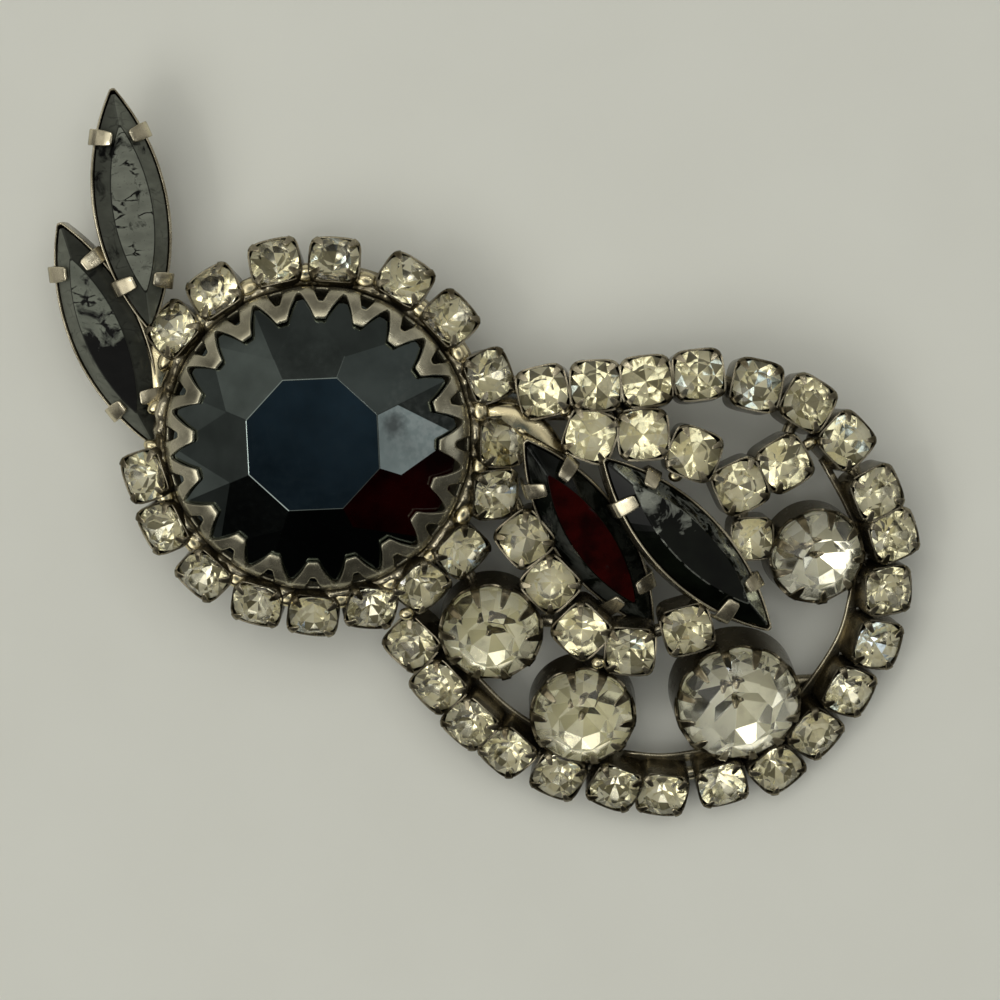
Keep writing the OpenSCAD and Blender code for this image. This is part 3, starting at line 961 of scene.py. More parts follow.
@dataclass(frozen=True)
class CutStone:
    """Round stone: octagonal table, eight main facets, pairs of corner facets, a band and facets below.

    A ring of n points has radius r and starts at a given angle. The ridge ring lies on the main facets'
    planes, so that each main facet is flat. The cushion swells its diagonals. Below the band a ring of eight
    points stands a little out of the cone from the band to the point, which gives long upper and short lower
    facets. Of the 73 facets, the 41 above and on the band are glass and the rest are silvered.
    """

    diameter: float
    crown: float
    table: float
    band: float
    pavilion: float
    ridge: float
    cushion: float = 0.0
    girdle: float = 0.05
    low_rise: float = 0.46
    low_reach: float = 0.5
    facet_count: int = 73
    glass_count: int = 41

    def ring(self, count: int, radius: float, start: float, z: float) -> Array:
        """A ring of points.

        Args:
            count: number of points.
            radius: distance from the middle, before the cushion swells it.
            start: angle of the first, in radians.
            z: height.

        Returns:
            The points.
        """
        angle = np.arange(count) * 2 * math.pi / count + start
        out = radius * (1 + self.cushion * np.sin(2 * angle) ** 2)
        return np.stack([out * np.cos(angle), out * np.sin(angle), np.full(count, z)], -1)

    def rings(self) -> Array:
        """All points: table, ridge, girdle, lower girdle, the ring below and the point.

        Returns:
            57 points.
        """
        r, low, eighth = self.diameter / 2, self.girdle - self.band, math.pi / 8
        slope = (self.crown - self.girdle) / (r - self.table / 2)
        ridge_z = self.crown - slope * (self.ridge * r * math.cos(eighth) - self.table / 2)
        below = -self.pavilion + (self.pavilion + low) * self.low_rise
        return np.vstack([self.ring(8, self.table / 2 / math.cos(eighth), eighth, self.crown),
                          self.ring(8, self.ridge * r, eighth, ridge_z), self.ring(16, r, 0, self.girdle),
                          self.ring(16, r, 0, low), self.ring(8, self.low_reach * r, 0, below),
                          [[0, 0, -self.pavilion]]])

    def facets(self) -> list[Array]:
        """Corners of every facet: the table, 8 mains, 16 corner facets, 16 of the band, then 32 below.

        Returns:
            Indices into the points of the rings, one array for each set of facets.
        """
        i, band = np.arange(8), np.arange(16)
        before, after = (i + 7) % 8, (i + 1) % 8
        nearest, left, right = 32 + 2 * i, 32 + (2 * i + 15) % 16, 33 + 2 * i
        sets = ([i, before, 8 + before, 16 + 2 * i, 8 + i], [8 + i, 16 + 2 * i, 17 + 2 * i],
                [8 + i, 17 + 2 * i, 16 + (2 * i + 2) % 16],
                [16 + (band + 1) % 16, 16 + band, 32 + band, 32 + (band + 1) % 16], [48 + i, nearest, left],
                [48 + i, right, nearest], [48 + i, 48 + after, right], [np.full(8, 56), 48 + after, 48 + i])
        return [i[None, :]] + [np.stack(corners_of, -1) for corners_of in sets]

    def add_to(self, skin: Skin, seat: Seat, shades: Array) -> None:
        """Adds the stone at a seat.

        Args:
            skin: the skin that it goes into.
            seat: its place.
            shades: a tone for each of its facets.
        """
        kinds = np.where(np.arange(self.facet_count) < self.glass_count, Face.GLASS.value, Face.FOIL.value)
        skin.add(seat.put(self.rings()), self.facets(), kinds, smooth=False, tone=shades)


@dataclass(frozen=True)
class NavetteStone:
    """Pointed oval stone: a long table, side facets that follow the girdle's arc and a crease at each tip.

    Its side facets have the two tones of flank, on its right and on its left: the flank of lower tone keeps
    less of its coating and looks darker, painted shade on that side. A narrow strip round the table, where
    the coating wears first, has the tone edge. The table's wear_and_shade climbs from 0 to 1 between the two
    places of fade along it.
    """

    length: float = 15.0
    width: float = 4.45
    table_length: float = 10.6
    table_width: float = 2.5
    crown: float = 1.0
    girdle: float = 0.1
    depth: float = 1.3
    strip: float = 0.08
    blunt: float = 0.4
    steps: int = 72
    flank: tuple[float, float] = (0.5, 0.5)
    edge: float = 0.0
    fade: tuple[float, float] = (0.0, 1.0)

    def arc(self, x: Array, length: float, width: float) -> Array:
        """Half the width at x: an arc through both tips and the widest point, as the solids have it."""
        radius = ((length + self.blunt) ** 2 + width * width) / (4 * width)
        return np.sqrt(radius * radius - x * x) - radius + width / 2

    def ring(self, length: float, width: float, z: float) -> Array:
        """Points round a pointed oval, closer together near the tips.

        Args:
            length: its length.
            width: its width.
            z: its height.

        Returns:
            The points.
        """
        angle = np.arange(self.steps) * 2 * math.pi / self.steps
        x = length / 2 * np.cos(angle)
        across = width / self.width * self.arc(x / length * self.length, self.length, self.width)
        tip = np.abs(np.sin(angle)) < 1e-9
        y = np.where(tip, 0.0, np.sign(np.sin(angle)) * across)
        return np.stack([x, y, np.full(self.steps, z)], -1)

    def add_to(self, skin: Skin, seat: Seat) -> None:
        """Adds the stone at a seat. Its table is of the first kind and the rest of it of the second.

        Args:
            skin: the skin that it goes into.
            seat: its place.
        """
        length, width, strip, count = self.length, self.width, self.strip, self.steps
        points = np.vstack([
            self.ring(0.6 * length, 0.3 * width, -self.depth), self.ring(length, width, -self.girdle),
            self.ring(length, width, self.girdle),
            self.ring(self.table_length + 4 * strip, self.table_width + 2 * strip, self.crown - 0.9 * strip),
            self.ring(self.table_length, self.table_width, self.crown)])
        # Flank tones: the lower one thins that flank's coating, painted shade.
        side = np.where(np.arange(count) < count // 2, self.flank[1], self.flank[0])
        tone = np.concatenate([side, side, side, np.full(count, self.edge), [0.5, 1.0]])
        kinds = np.append(np.full(4 * count + 1, Part.SIDES.value), Part.TABLE.value)
        wear_and_shade_values = (points[:, 0] - self.fade[0]) / (self.fade[1] - self.fade[0])
        skin.add(seat.put(points), closed_faces(5, count), kinds, smooth=False, tone=tone, wear_and_shade=wear_and_shade_values)


# Settings


@dataclass(frozen=True)
class SmallCup:
    """Square cup of sheet metal with four corner claws folded over its stone.

    The outline is a rounded square, the sum of the powers of x and y being constant. The columns of a half
    quarter are listed in degrees from a corner.
    """

    width: float = 3.42
    depth: float = 2.1
    corner: float = 2.06
    sheet: float = 0.13
    claw_half: float = 8.2
    claw: float = 1.12
    rim: float = 0.12
    columns: tuple[float, ...] = (-45, -36, -28, -21, -15, -11.5, -9.4, -8.6, -7.8, -6.6, -4.4, 0)

    def add_to(self, skin: Skin, seat: Seat, tone: float, shift: float) -> None:
        """Adds the cup at a seat.

        Args:
            skin: the skin that it goes into.
            seat: its place.
            tone: its shade.
            shift: degrees by which its claws are turned, as hand work leaves them.
        """
        side = np.array(self.columns)
        quarter = np.concatenate([side, -side[-2:0:-1]])
        off = np.tile(quarter, 4)
        centres = np.repeat(np.arange(4) * 90 + 45, len(quarter))
        angles = np.radians(centres + off + shift * (1 - np.abs(off) / 45))
        half = self.width / 2
        power = math.log(2) / math.log(math.sqrt(2) * half / self.corner)
        powers = np.abs(np.cos(angles) / half) ** power + np.abs(np.sin(angles) / half) ** power
        claw = 1 - np.clip(np.abs(off) / self.claw_half, 0, 1) ** 5
        lengths = self.depth + self.rim * np.sin(np.radians(2 * np.abs(off))) - 0.04 + self.claw * claw
        bend = Bend(self.depth, top=0.06, radius=0.28, angle=82, sheet=self.sheet)
        points, faces, wear_and_shade_values = cup_surface(bend, angles, powers ** (-1 / power), lengths, low=1.9, floor=0.35,
                                          claw=claw)
        # Rims and claw tips brighter, real wear with a painted highlight; recesses darker, painted shade.
        skin.add(seat.put(points), faces, wear_and_shade=1.2 * wear_and_shade_values - 0.12, tone=tone)


@dataclass(frozen=True)
class RoundCup:
    """Round cup with a ring of narrow claws folded over a larger stone."""

    diameter: float
    claws: int
    turn: float
    missing: int
    wall: float = 0.26
    sheet: float = 0.2
    claw_width: float = 0.66
    claw: float = 1.7
    scallop: float = 0.22

    def add_to(self, skin: Skin, seat: Seat, tone: float) -> None:
        """Adds the cup at a seat.

        Args:
            skin: the skin that it goes into.
            seat: its place.
            tone: its shade.
        """
        outer, depth = self.diameter / 2 + self.wall, 0.38 * self.diameter
        half = math.degrees(self.claw_width / 2 / outer)
        step = 360 / self.claws
        across = np.array([-1.0, -0.96, -0.88, -0.72, -0.4, 0, 0.4, 0.72, 0.88, 0.96, 1.0]) * half
        between = half + (step - 2 * half) * np.array([0.15, 0.3, 0.5, 0.7, 0.85])
        offsets = np.concatenate([across, between])
        starts = 90 + self.turn + (np.arange(self.claws) + 0.5) * step
        angles = np.radians((starts[:, None] + offsets).reshape(-1))
        off = np.tile(offsets, self.claws)
        present = np.repeat(np.arange(self.claws) != self.missing, len(offsets))
        claw = np.where(np.abs(off) <= half, 1 - np.abs(off / half) ** 5, 0.0) * present
        gap_share = np.clip((off - half) / (step - 2 * half), 0, 1)
        lengths = depth - 0.1 - self.scallop * np.sin(math.pi * gap_share) + claw * self.claw
        bend = Bend(depth, top=0.12, radius=0.42, angle=66, sheet=self.sheet)
        points, faces, wear_and_shade_values = cup_surface(bend, angles, np.full(len(angles), outer), lengths,
                                          low=depth - 0.75, floor=0.35, claw=claw)
        # Darker claws than the small cups' ones: painted shade, with a painted highlight on their edges.
        skin.add(seat.put(points), faces, wear_and_shade=1.2 * wear_and_shade_values - 0.35, tone=tone)


@dataclass(frozen=True)
class NavetteCup:
    """Pointed oval cup with two bands folded over the stone near each tip.

    Rows of the wall: length, width, height and wear, up the outside, over the rim and down the inside. Rows
    of the fold of a band: distance outwards, height, share of the full width, and wear.
    """

    stone: NavetteStone = NavetteStone()
    band: float = 1.05
    from_tip: float = 2.65
    fan: float = 16.0
    # In wall and fold the last column is wear_and_shade: high on the rim and the bands' tips, real wear with
    # a painted highlight, and 0 low down and inside, painted shade.
    wall: tuple[tuple[float, ...], ...] = (
        (14.6, 3.6, -1.75, 0), (15.35, 4.6, -1.75, 0), (15.5, 4.75, -1.68, 0), (15.7, 4.85, -0.9, 0),
        (15.8, 4.95, -0.1, 0.2), (15.8, 4.97, 0.08, 0.6), (15.72, 4.9, 0.14, 0.5), (15.5, 4.7, 0.14, 0.2),
        (15.42, 4.6, 0.08, 0.1), (15.4, 4.58, -0.3, 0), (15.1, 4.4, -1.2, 0), (14.4, 3.8, -1.4, 0),
        (13.0, 2.4, -1.4, 0))
    fold: tuple[tuple[float, ...], ...] = (
        (0.42, -1.45, 0.9, 0), (0.46, -0.7, 0.95, 0), (0.53, 0.0, 1, 0.2), (0.5, 0.25, 1, 0.4),
        (0.34, 0.42, 1, 0.45), (0.1, 0.56, 1, 0.4), (-0.3, 0.8, 0.95, 0.45), (-0.7, 1.04, 0.82, 0.9),
        (-0.8, 1.08, 0.6, 1))

    def add_to(self, skin: Skin, seat: Seat, tone: float) -> None:
        """Adds the cup at a seat.

        Args:
            skin: the skin that it goes into.
            seat: its place.
            tone: its shade.
        """
        stone, wear_and_shade = self.stone, [row[3] for row in self.wall]
        grid = np.vstack([stone.ring(*row[:3]) for row in self.wall])
        faces = closed_faces(len(self.wall), stone.steps)
        skin.add(seat.put(grid), faces, wear_and_shade=np.repeat(wear_and_shade, stone.steps), tone=tone)
        band_x = stone.length / 2 - self.from_tip
        edge_y = float(stone.arc(np.array([band_x]), stone.length, stone.width)[0])
        out, height, share, wear_and_shade = np.array(self.fold).T
        for end in (-1, 1):
            for flank in (-1, 1):
                turn = turn_z(flank * (90 - end * self.fan))
                path = np.stack([out, 0 * out, height], -1) @ turn.T + [end * band_x, flank * edge_y, 0]
                strip, faces = strap(path, self.band * share, 0.2, turn @ np.array([0.0, 1.0, 0.0]))
                skin.add(seat.put(strip), faces, wear_and_shade=np.repeat(wear_and_shade, len(strip) // len(path)), tone=tone)


@dataclass(frozen=True)
class Crown:
    """Turned cup round the big stone, cut into prongs and pierced at the foot of each prong.

    The sheet is a surface of two parameters, the angle round the stone and the arc length up its side
    profile. Its level rows run up to the cut, and the rows above lie at shares of each column's own length.
    A prong leaves out a block of cells, which the warped columns turn into a three-sided hole: in each row,
    hole is half its width beside half a prong's.
    """

    middle: Array
    prongs: int = 20
    start: float = -2.0
    sheet: float = 0.3
    columns: int = 16
    tip: float = 0.25
    notch_depth: float = 2.05
    hollow: float = 0.8
    cut: float = 3.35
    profile: Line = (
        (5.5, 2.9), (7.5, 2.9), (7.8, 3.2), (8.6, 4.7), (9.3, 5.75), (9.85, 6.55), (9.96, 6.95), (9.88, 7.3),
        (9.55, 7.72), (8.95, 8.12), (8.25, 8.5), (7.95, 8.6))
    level: tuple[float, ...] = (0, 0.3, 0.6, 0.85)
    shares: tuple[float, ...] = (0, 0.19, 0.29, 0.38, 0.46, 0.54, 0.62, 0.68, 0.74, 0.8, 0.87, 0.93, 0.97, 1)
    hole: tuple[float, ...] = (0.25, 0.29, 0.31, 0.3, 0.26, 0.19, 0.11, 0.16, 0.22, 0.27, 0.3, 0.3, 0.3, 0.3)
    hole_rows: tuple[int, int] = (5, 10)

    def sheet_grid(self) -> tuple[Array, Array, Array]:
        """The sheet as a grid.

        A column ends below the prong's tip by a power, less than 1, of its distance from the prong's middle,
        which hollows the prong's flanks. The columns next to the middle spread and close again to shape the
        hole.

        Returns:
            Points, faces without those in the holes, and the wear of each point.
        """
        corner, tip = np.array(self.profile), self.tip
        run = np.concatenate([[0], np.cumsum(np.linalg.norm(np.diff(corner, axis=0), axis=1))])
        base = np.linspace(-1, 1, self.columns + 1)[:-1]
        off = np.abs(base)
        ends = run[-1] - self.notch_depth * np.clip((off - tip) / (1 - tip), 0, 1) ** self.hollow
        below = run[-1] - self.cut
        share = np.array(self.shares)
        s = np.vstack([np.outer(self.level, np.full(self.columns, below)),
                       below + share[:, None] * (ends - below)])
        half = np.array([tip] * len(self.level) + list(self.hole))[:, None]
        spread = np.where(off <= tip, base / tip * half,
                          np.sign(base) * (1 - (1 - off) / (1 - tip) * (1 - half)))
        sector = 360 / self.prongs
        turns = self.start + np.arange(self.prongs)[None, :, None] * sector
        angle = np.radians(turns + spread[:, None, :] * sector / 2)
        s = np.broadcast_to(s[:, None, :], angle.shape)
        r, z = np.interp(s, run, corner[:, 0]), np.interp(s, run, corner[:, 1])
        grid = np.stack([r * np.cos(angle), r * np.sin(angle), z], -1).reshape(-1, 3) + self.middle
        around = self.prongs * self.columns
        faces = grid_faces(len(s), around)
        row, column = np.divmod(np.arange(len(faces)), around)
        beside = np.abs(column % self.columns - self.columns // 2 + 0.5) < 2
        pierced = (row >= self.hole_rows[0]) & (row < self.hole_rows[1]) & beside
        # Wear and shade climb the prong: painted shade low on the sheet and by the holes, real wear with a
        # painted highlight at the tips; the level rows under the cups get 0, painted shade.
        climb = 0.2 + 0.35 * smooth_step(0.35, 0.75, share) + 0.45 * smooth_step(0.9, 1, share)
        wear_and_shade_values = np.concatenate([np.zeros(len(self.level)), climb])
        return grid, faces[~pierced], np.repeat(wear_and_shade_values, around)

    def build(self, shop: Workshop) -> None:
        """Makes the crown.

        Args:
            shop: the finishes.
        """
        grid, faces, wear_and_shade_values = self.sheet_grid()
        used, faces = np.unique(faces, return_inverse=True)
        skin = Skin()
        skin.add(grid[used], [faces.reshape(-1, 4)], wear_and_shade=wear_and_shade_values[used])
        piece = skin.make("crown", [shop.crown_metal], "crown_metal", "crown_setting")
        wall = piece.modifiers.new("sheet", "SOLIDIFY")
        wall.thickness = self.sheet * MM
        wall.offset = -1
        wall.use_even_offset = True
        soft = piece.modifiers.new("soft_edges", "SUBSURF")
        soft.levels = soft.render_levels = 1


@dataclass(frozen=True)
class Links:
    """Wires, strips and solder that join the cups, the gallery behind the ring and the two smooth plates.

    The gallery and the solder's run are profiles of radii and heights. The yoke, the root and the posts are
    placed in the frame of the tables, the drops of solder in that of the brooch.
    """

    layout: Layout
    foot: float = 1.9
    round_foot: float = 0.36
    loop_wire: float = 0.48
    joint_wire: float = 0.45
    post_radius: float = 0.85
    joints: tuple[tuple[str, int, str, int], ...] = (
        ("ring", 6, "loop", 0), ("ring", 7, "inner", 6), ("ring", 9, "round", 0), ("ring", 10, "loop", 21),
        ("loop", 0, "inner", 0), ("loop", 1, "inner", 1), ("inner", 0, "inner", 1), ("inner", 1, "inner", 2),
        ("inner", 2, "inner", 3), ("inner", 3, "inner", 4), ("loop", 5, "inner", 4), ("inner", 3, "inner", 5),
        ("inner", 5, "round", 3), ("inner", 6, "inner", 7), ("inner", 7, "inner", 8),
        ("inner", 8, "inner", 9), ("inner", 9, "inner", 10), ("inner", 8, "round", 0),
        ("inner", 9, "round", 1), ("inner", 10, "round", 2), ("round", 0, "loop", 20),
        ("round", 1, "loop", 17), ("round", 2, "loop", 14), ("round", 2, "loop", 11), ("round", 3, "loop", 8))
    gallery: tuple[Line, ...] = (
        ((9.7, 3.95), (9.8, 3.9), (11.2, 3.9), (11.35, 4.0), (11.35, 4.6), (11.2, 4.7), (9.8, 4.7),
         (9.7, 4.6)),
        ((9.7, 2.2), (10.3, 2.2), (10.3, 4.2), (9.7, 4.2)),
        ((5.2, 2.25), (5.3, 2.2), (10.2, 2.2), (10.3, 2.25), (10.3, 2.75), (10.2, 2.8), (5.3, 2.8),
         (5.2, 2.75)))
    run: Line = (
        (9.7, 5.2), (10.7, 5.2), (10.85, 5.5), (10.8, 6.1), (10.6, 6.55), (10.3, 6.75), (10.0, 6.7),
        (9.8, 6.3))
    yoke: Line = (
        (-0.6, 3.3), (-0.4, 2.0), (1.4, 2.1), (2.6, 1.0), (3.6, 0.9), (4.9, 0.3), (6.0, -0.4), (4.4, 2.2),
        (2.3, 3.5))
    root: Line = (
        (-22.3, 7.6), (-22.3, 4.5), (-21.8, 1.6), (-20.5, 0.2), (-19.9, 2.4), (-19.3, 5.6), (-20.6, 8.0))
    # Posts below the two plates: x, y, height of the foot
    posts: tuple[tuple[float, float, float], ...] = ((2.9, 2.6, 2.25), (-20.0, 4.8, 2.5))
    # Drops beside the cups: x, y, height, half width, half length, heading. Between the ring cups: distance
    # from the middle, height, half width, half length
    drops: tuple[tuple[float, ...], ...] = (
        (-21.6, 3.75, 6.1, 0.75, 0.5, 20), (-21.9, 1.1, 6.0, 0.7, 0.45, -30),
        (-20.9, 6.9, 6.3, 0.9, 0.55, 60), (-20.4, 5.2, 5.9, 0.7, 0.6, 10), (5.0, 3.55, 7.2, 0.42, 0.36, 0),
        (7.2, -13.1, 6.4, 0.45, 0.4, 0), (-5.4, -9.9, 5.9, 0.5, 0.42, 0), (20.9, 1.3, 6.1, 0.6, 0.4, 30),
        (12.2, -0.7, 6.9, 0.5, 0.4, 0), (15.4, -0.9, 6.7, 0.5, 0.35, 60), (9.0, 3.2, 7.2, 0.7, 0.4, 0))
    ring_drop: tuple[float, ...] = (10.7, 6.5, 0.85, 0.6)
    bright_above: float = 5.7
    # Strips behind the loop: first cup, last cup, width
    runs: tuple[tuple[int, int, float], ...] = ((6, 9, 0.65), (9, 12, 1.3), (13, 16, 1.3), (17, 20, 1.3))

    def build(self, shop: Workshop) -> None:
        """Makes all the links as one piece.

        Args:
            shop: the finishes.
        """
        skin, middle = Skin(), self.layout.middle()
        self.wires(skin)
        # Low wear_and_shade on the gallery and the posts deep among the cups: tarnish and painted shade.
        for profile in self.gallery:
            skin.add(*turned(profile, middle), wear_and_shade=0.15)
        self.solder_run(skin)
        for outline, bottom, top, wear_and_shade in ((self.yoke, 5.5, 6.6, 0.8), (self.root, 3.6, 5.6, 0.9)):
            places = np.array(outline) - self.layout.outline
            skin.add(*pillow(places, bottom, top), Metal.SOLDER.value, wear_and_shade=wear_and_shade)
        for post in self.posts:
            path = self.layout.at(*post) + np.outer([0, 1, 2.2, 3.3], [0, 0, 1])
            skin.add(*tube(path, self.post_radius), wear_and_shade=0.2)
        self.solder_drops(skin)
        self.strips(skin)
        skin.make("links", [shop.frame_metal, shop.solder], "frame_metal", "soldered_frame")

    def wires(self, skin: Skin) -> None:
        """Round wires from cup to cup, along the outer loop and then by the table of joints.

        Args:
            skin: the skin that they go into.
        """
        layout = self.layout
        settings = {"ring": layout.ring_seats(), "loop": layout.loop_seats(), "inner": layout.inner_seats()}
        feet = {name: [seat.foot(self.foot) for seat in seats] for name, seats in settings.items()}
        feet["round"] = [seat.foot(self.round_foot * row.diameter)
                         for seat, row in zip(layout.round_seats(), layout.rounds)]
        ends = [(a, b, self.loop_wire) for a, b in zip(feet["loop"], feet["loop"][1:])]
        ends += [(feet[a][i], feet[b][j], self.joint_wire) for a, i, b, j in self.joints]
        # Their low wear_and_shade is tarnish and painted shade low among the cups.
        for a, b, radius in ends:
            skin.add(*tube(a + (b - a) * np.linspace(-0.04, 1.04, 4)[:, None], radius), wear_and_shade=0.25)

    def solder_run(self, skin: Skin) -> None:
        """A lumpy run of solder between the crown and the ring cups: waves round it lift and spread its top.

        Args:
            skin: the skin that it goes into.
        """
        middle = self.layout.middle()
        points, faces = turned(self.run, middle, 360)
        out = points[:, :2] - middle[:2]
        around = np.arctan2(out[:, 1], out[:, 0])
        wave = 0.5 * np.sin(17 * around + 1) + 0.3 * np.sin(41 * around) + 0.2 * np.sin(67 * around + 2)
        top = smooth_step(5.6, 6.7, points[:, 2])
        points[:, :2] += 0.015 * (wave * top)[:, None] * out
        points[:, 2] += (0.15 + 0.35 * wave) * top
        skin.add(points, faces, wear_and_shade=0.1 + 0.5 * wave)

    def solder_drops(self, skin: Skin) -> None:
        """Drops of solder, the table's and one between each pair of ring cups. Low ones are plated metal with
        a low wear_and_shade, tarnish and painted shade among the cups.

        Args:
            skin: the skin that they go into.
        """
        drops = list(self.drops)
        distance, height, *half_sizes = self.ring_drop
        angles = [row[0] for row in self.layout.ring]
        for first, second in zip(angles, angles[1:]):
            half_way = (first + second) / 2
            place = self.layout.middle() + turn_z(half_way) @ np.array([distance, 0, height])
            drops.append((*place, *half_sizes, half_way + 90))
        for x, y, z, wide, long, heading in drops:
            kind, wear_and_shade = (Metal.SOLDER, 0.8) if z > self.bright_above else (Metal.PLATED, 0.35)
            ball = bead(np.array([x, y, z]), np.array([wide, long, 0.8 * long]), turn_z(heading))
            skin.add(*ball, kind.value, wear_and_shade=wear_and_shade)

    def strips(self, skin: Skin) -> None:
        """Leaning strips that run along the inside of the outer loop, behind its cups.

        Args:
            skin: the skin that they go into.
        """
        seats = self.layout.loop_seats()
        for first, last, width in self.runs:
            foot = np.array([seat.foot(1.0) for seat in seats[first:last + 1]])
            inwards = unit((self.layout.at(*self.layout.wing) - foot) * [1, 1, 0])
            across = np.array([0, 0, 1.0]) + 0.75 * inwards.mean(0)
            skin.add(*strap(rounded(foot + 1.75 * inwards, 3), width, 0.25, across), wear_and_shade=0.35)


@dataclass(frozen=True)
class PinBack:
    """Bar with rounded ends, hinge block, pin stem and catch block behind the brooch."""

    layout: Layout
    line_y: float = 3.4
    start: float = -19.5
    end: float = 9.5
    bar: tuple[float, float, float] = (1.87, 3.0, 0.52)
    block: tuple[float, float, float] = (0.85, 2.9, 1.68)
    block_length: float = 2.4
    stem: tuple[float, float] = (0.8, 0.45)

    def build(self, shop: Workshop) -> None:
        """Makes the pin back. The bar and the blocks are given as height, width and thickness.

        Args:
            shop: the finishes.
        """
        skin, across, t = Skin(), np.array([0.0, 1.0, 0.0]), np.linspace(0, 1, 13)
        x0, y, _ = self.layout.at(self.start, self.line_y, 0.0)
        x1 = self.end - self.layout.outline[0]

        def along(start: float, length: float, shares: Array, z: float) -> Array:
            """Points on the line of the pin."""
            return np.stack([start + length * shares, np.full(len(shares), y), np.full(len(shares), z)], -1)

        height, width, thick = self.bar
        wide = width * np.interp(t, [0, 0.02, 0.08, 0.92, 0.98, 1], [0.6, 0.85, 1, 1, 0.85, 0.6])
        skin.add(*strap(along(x0 + 0.02, x1 - x0 - 0.04, t, height), wide, thick, across), wear_and_shade=0.3)
        height, width, thick = self.block
        for x in (x0 + 0.1, x1 - 2.5):
            path = along(x, self.block_length, np.linspace(0, 1, 5), height)
            skin.add(*strap(path, width * np.array([0.8, 1, 1, 1, 0.8]), thick, across), wear_and_shade=0.35)
        height, radius = self.stem
        taper = radius * np.interp(t, [0, 0.8, 1], [1, 1, 0.5])
        skin.add(*tube(along(x0 + 1, x1 - x0 - 2, t, height), taper), wear_and_shade=0.9)
        skin.make("pin", [shop.pin_metal], "pin_metal", "pin_back")


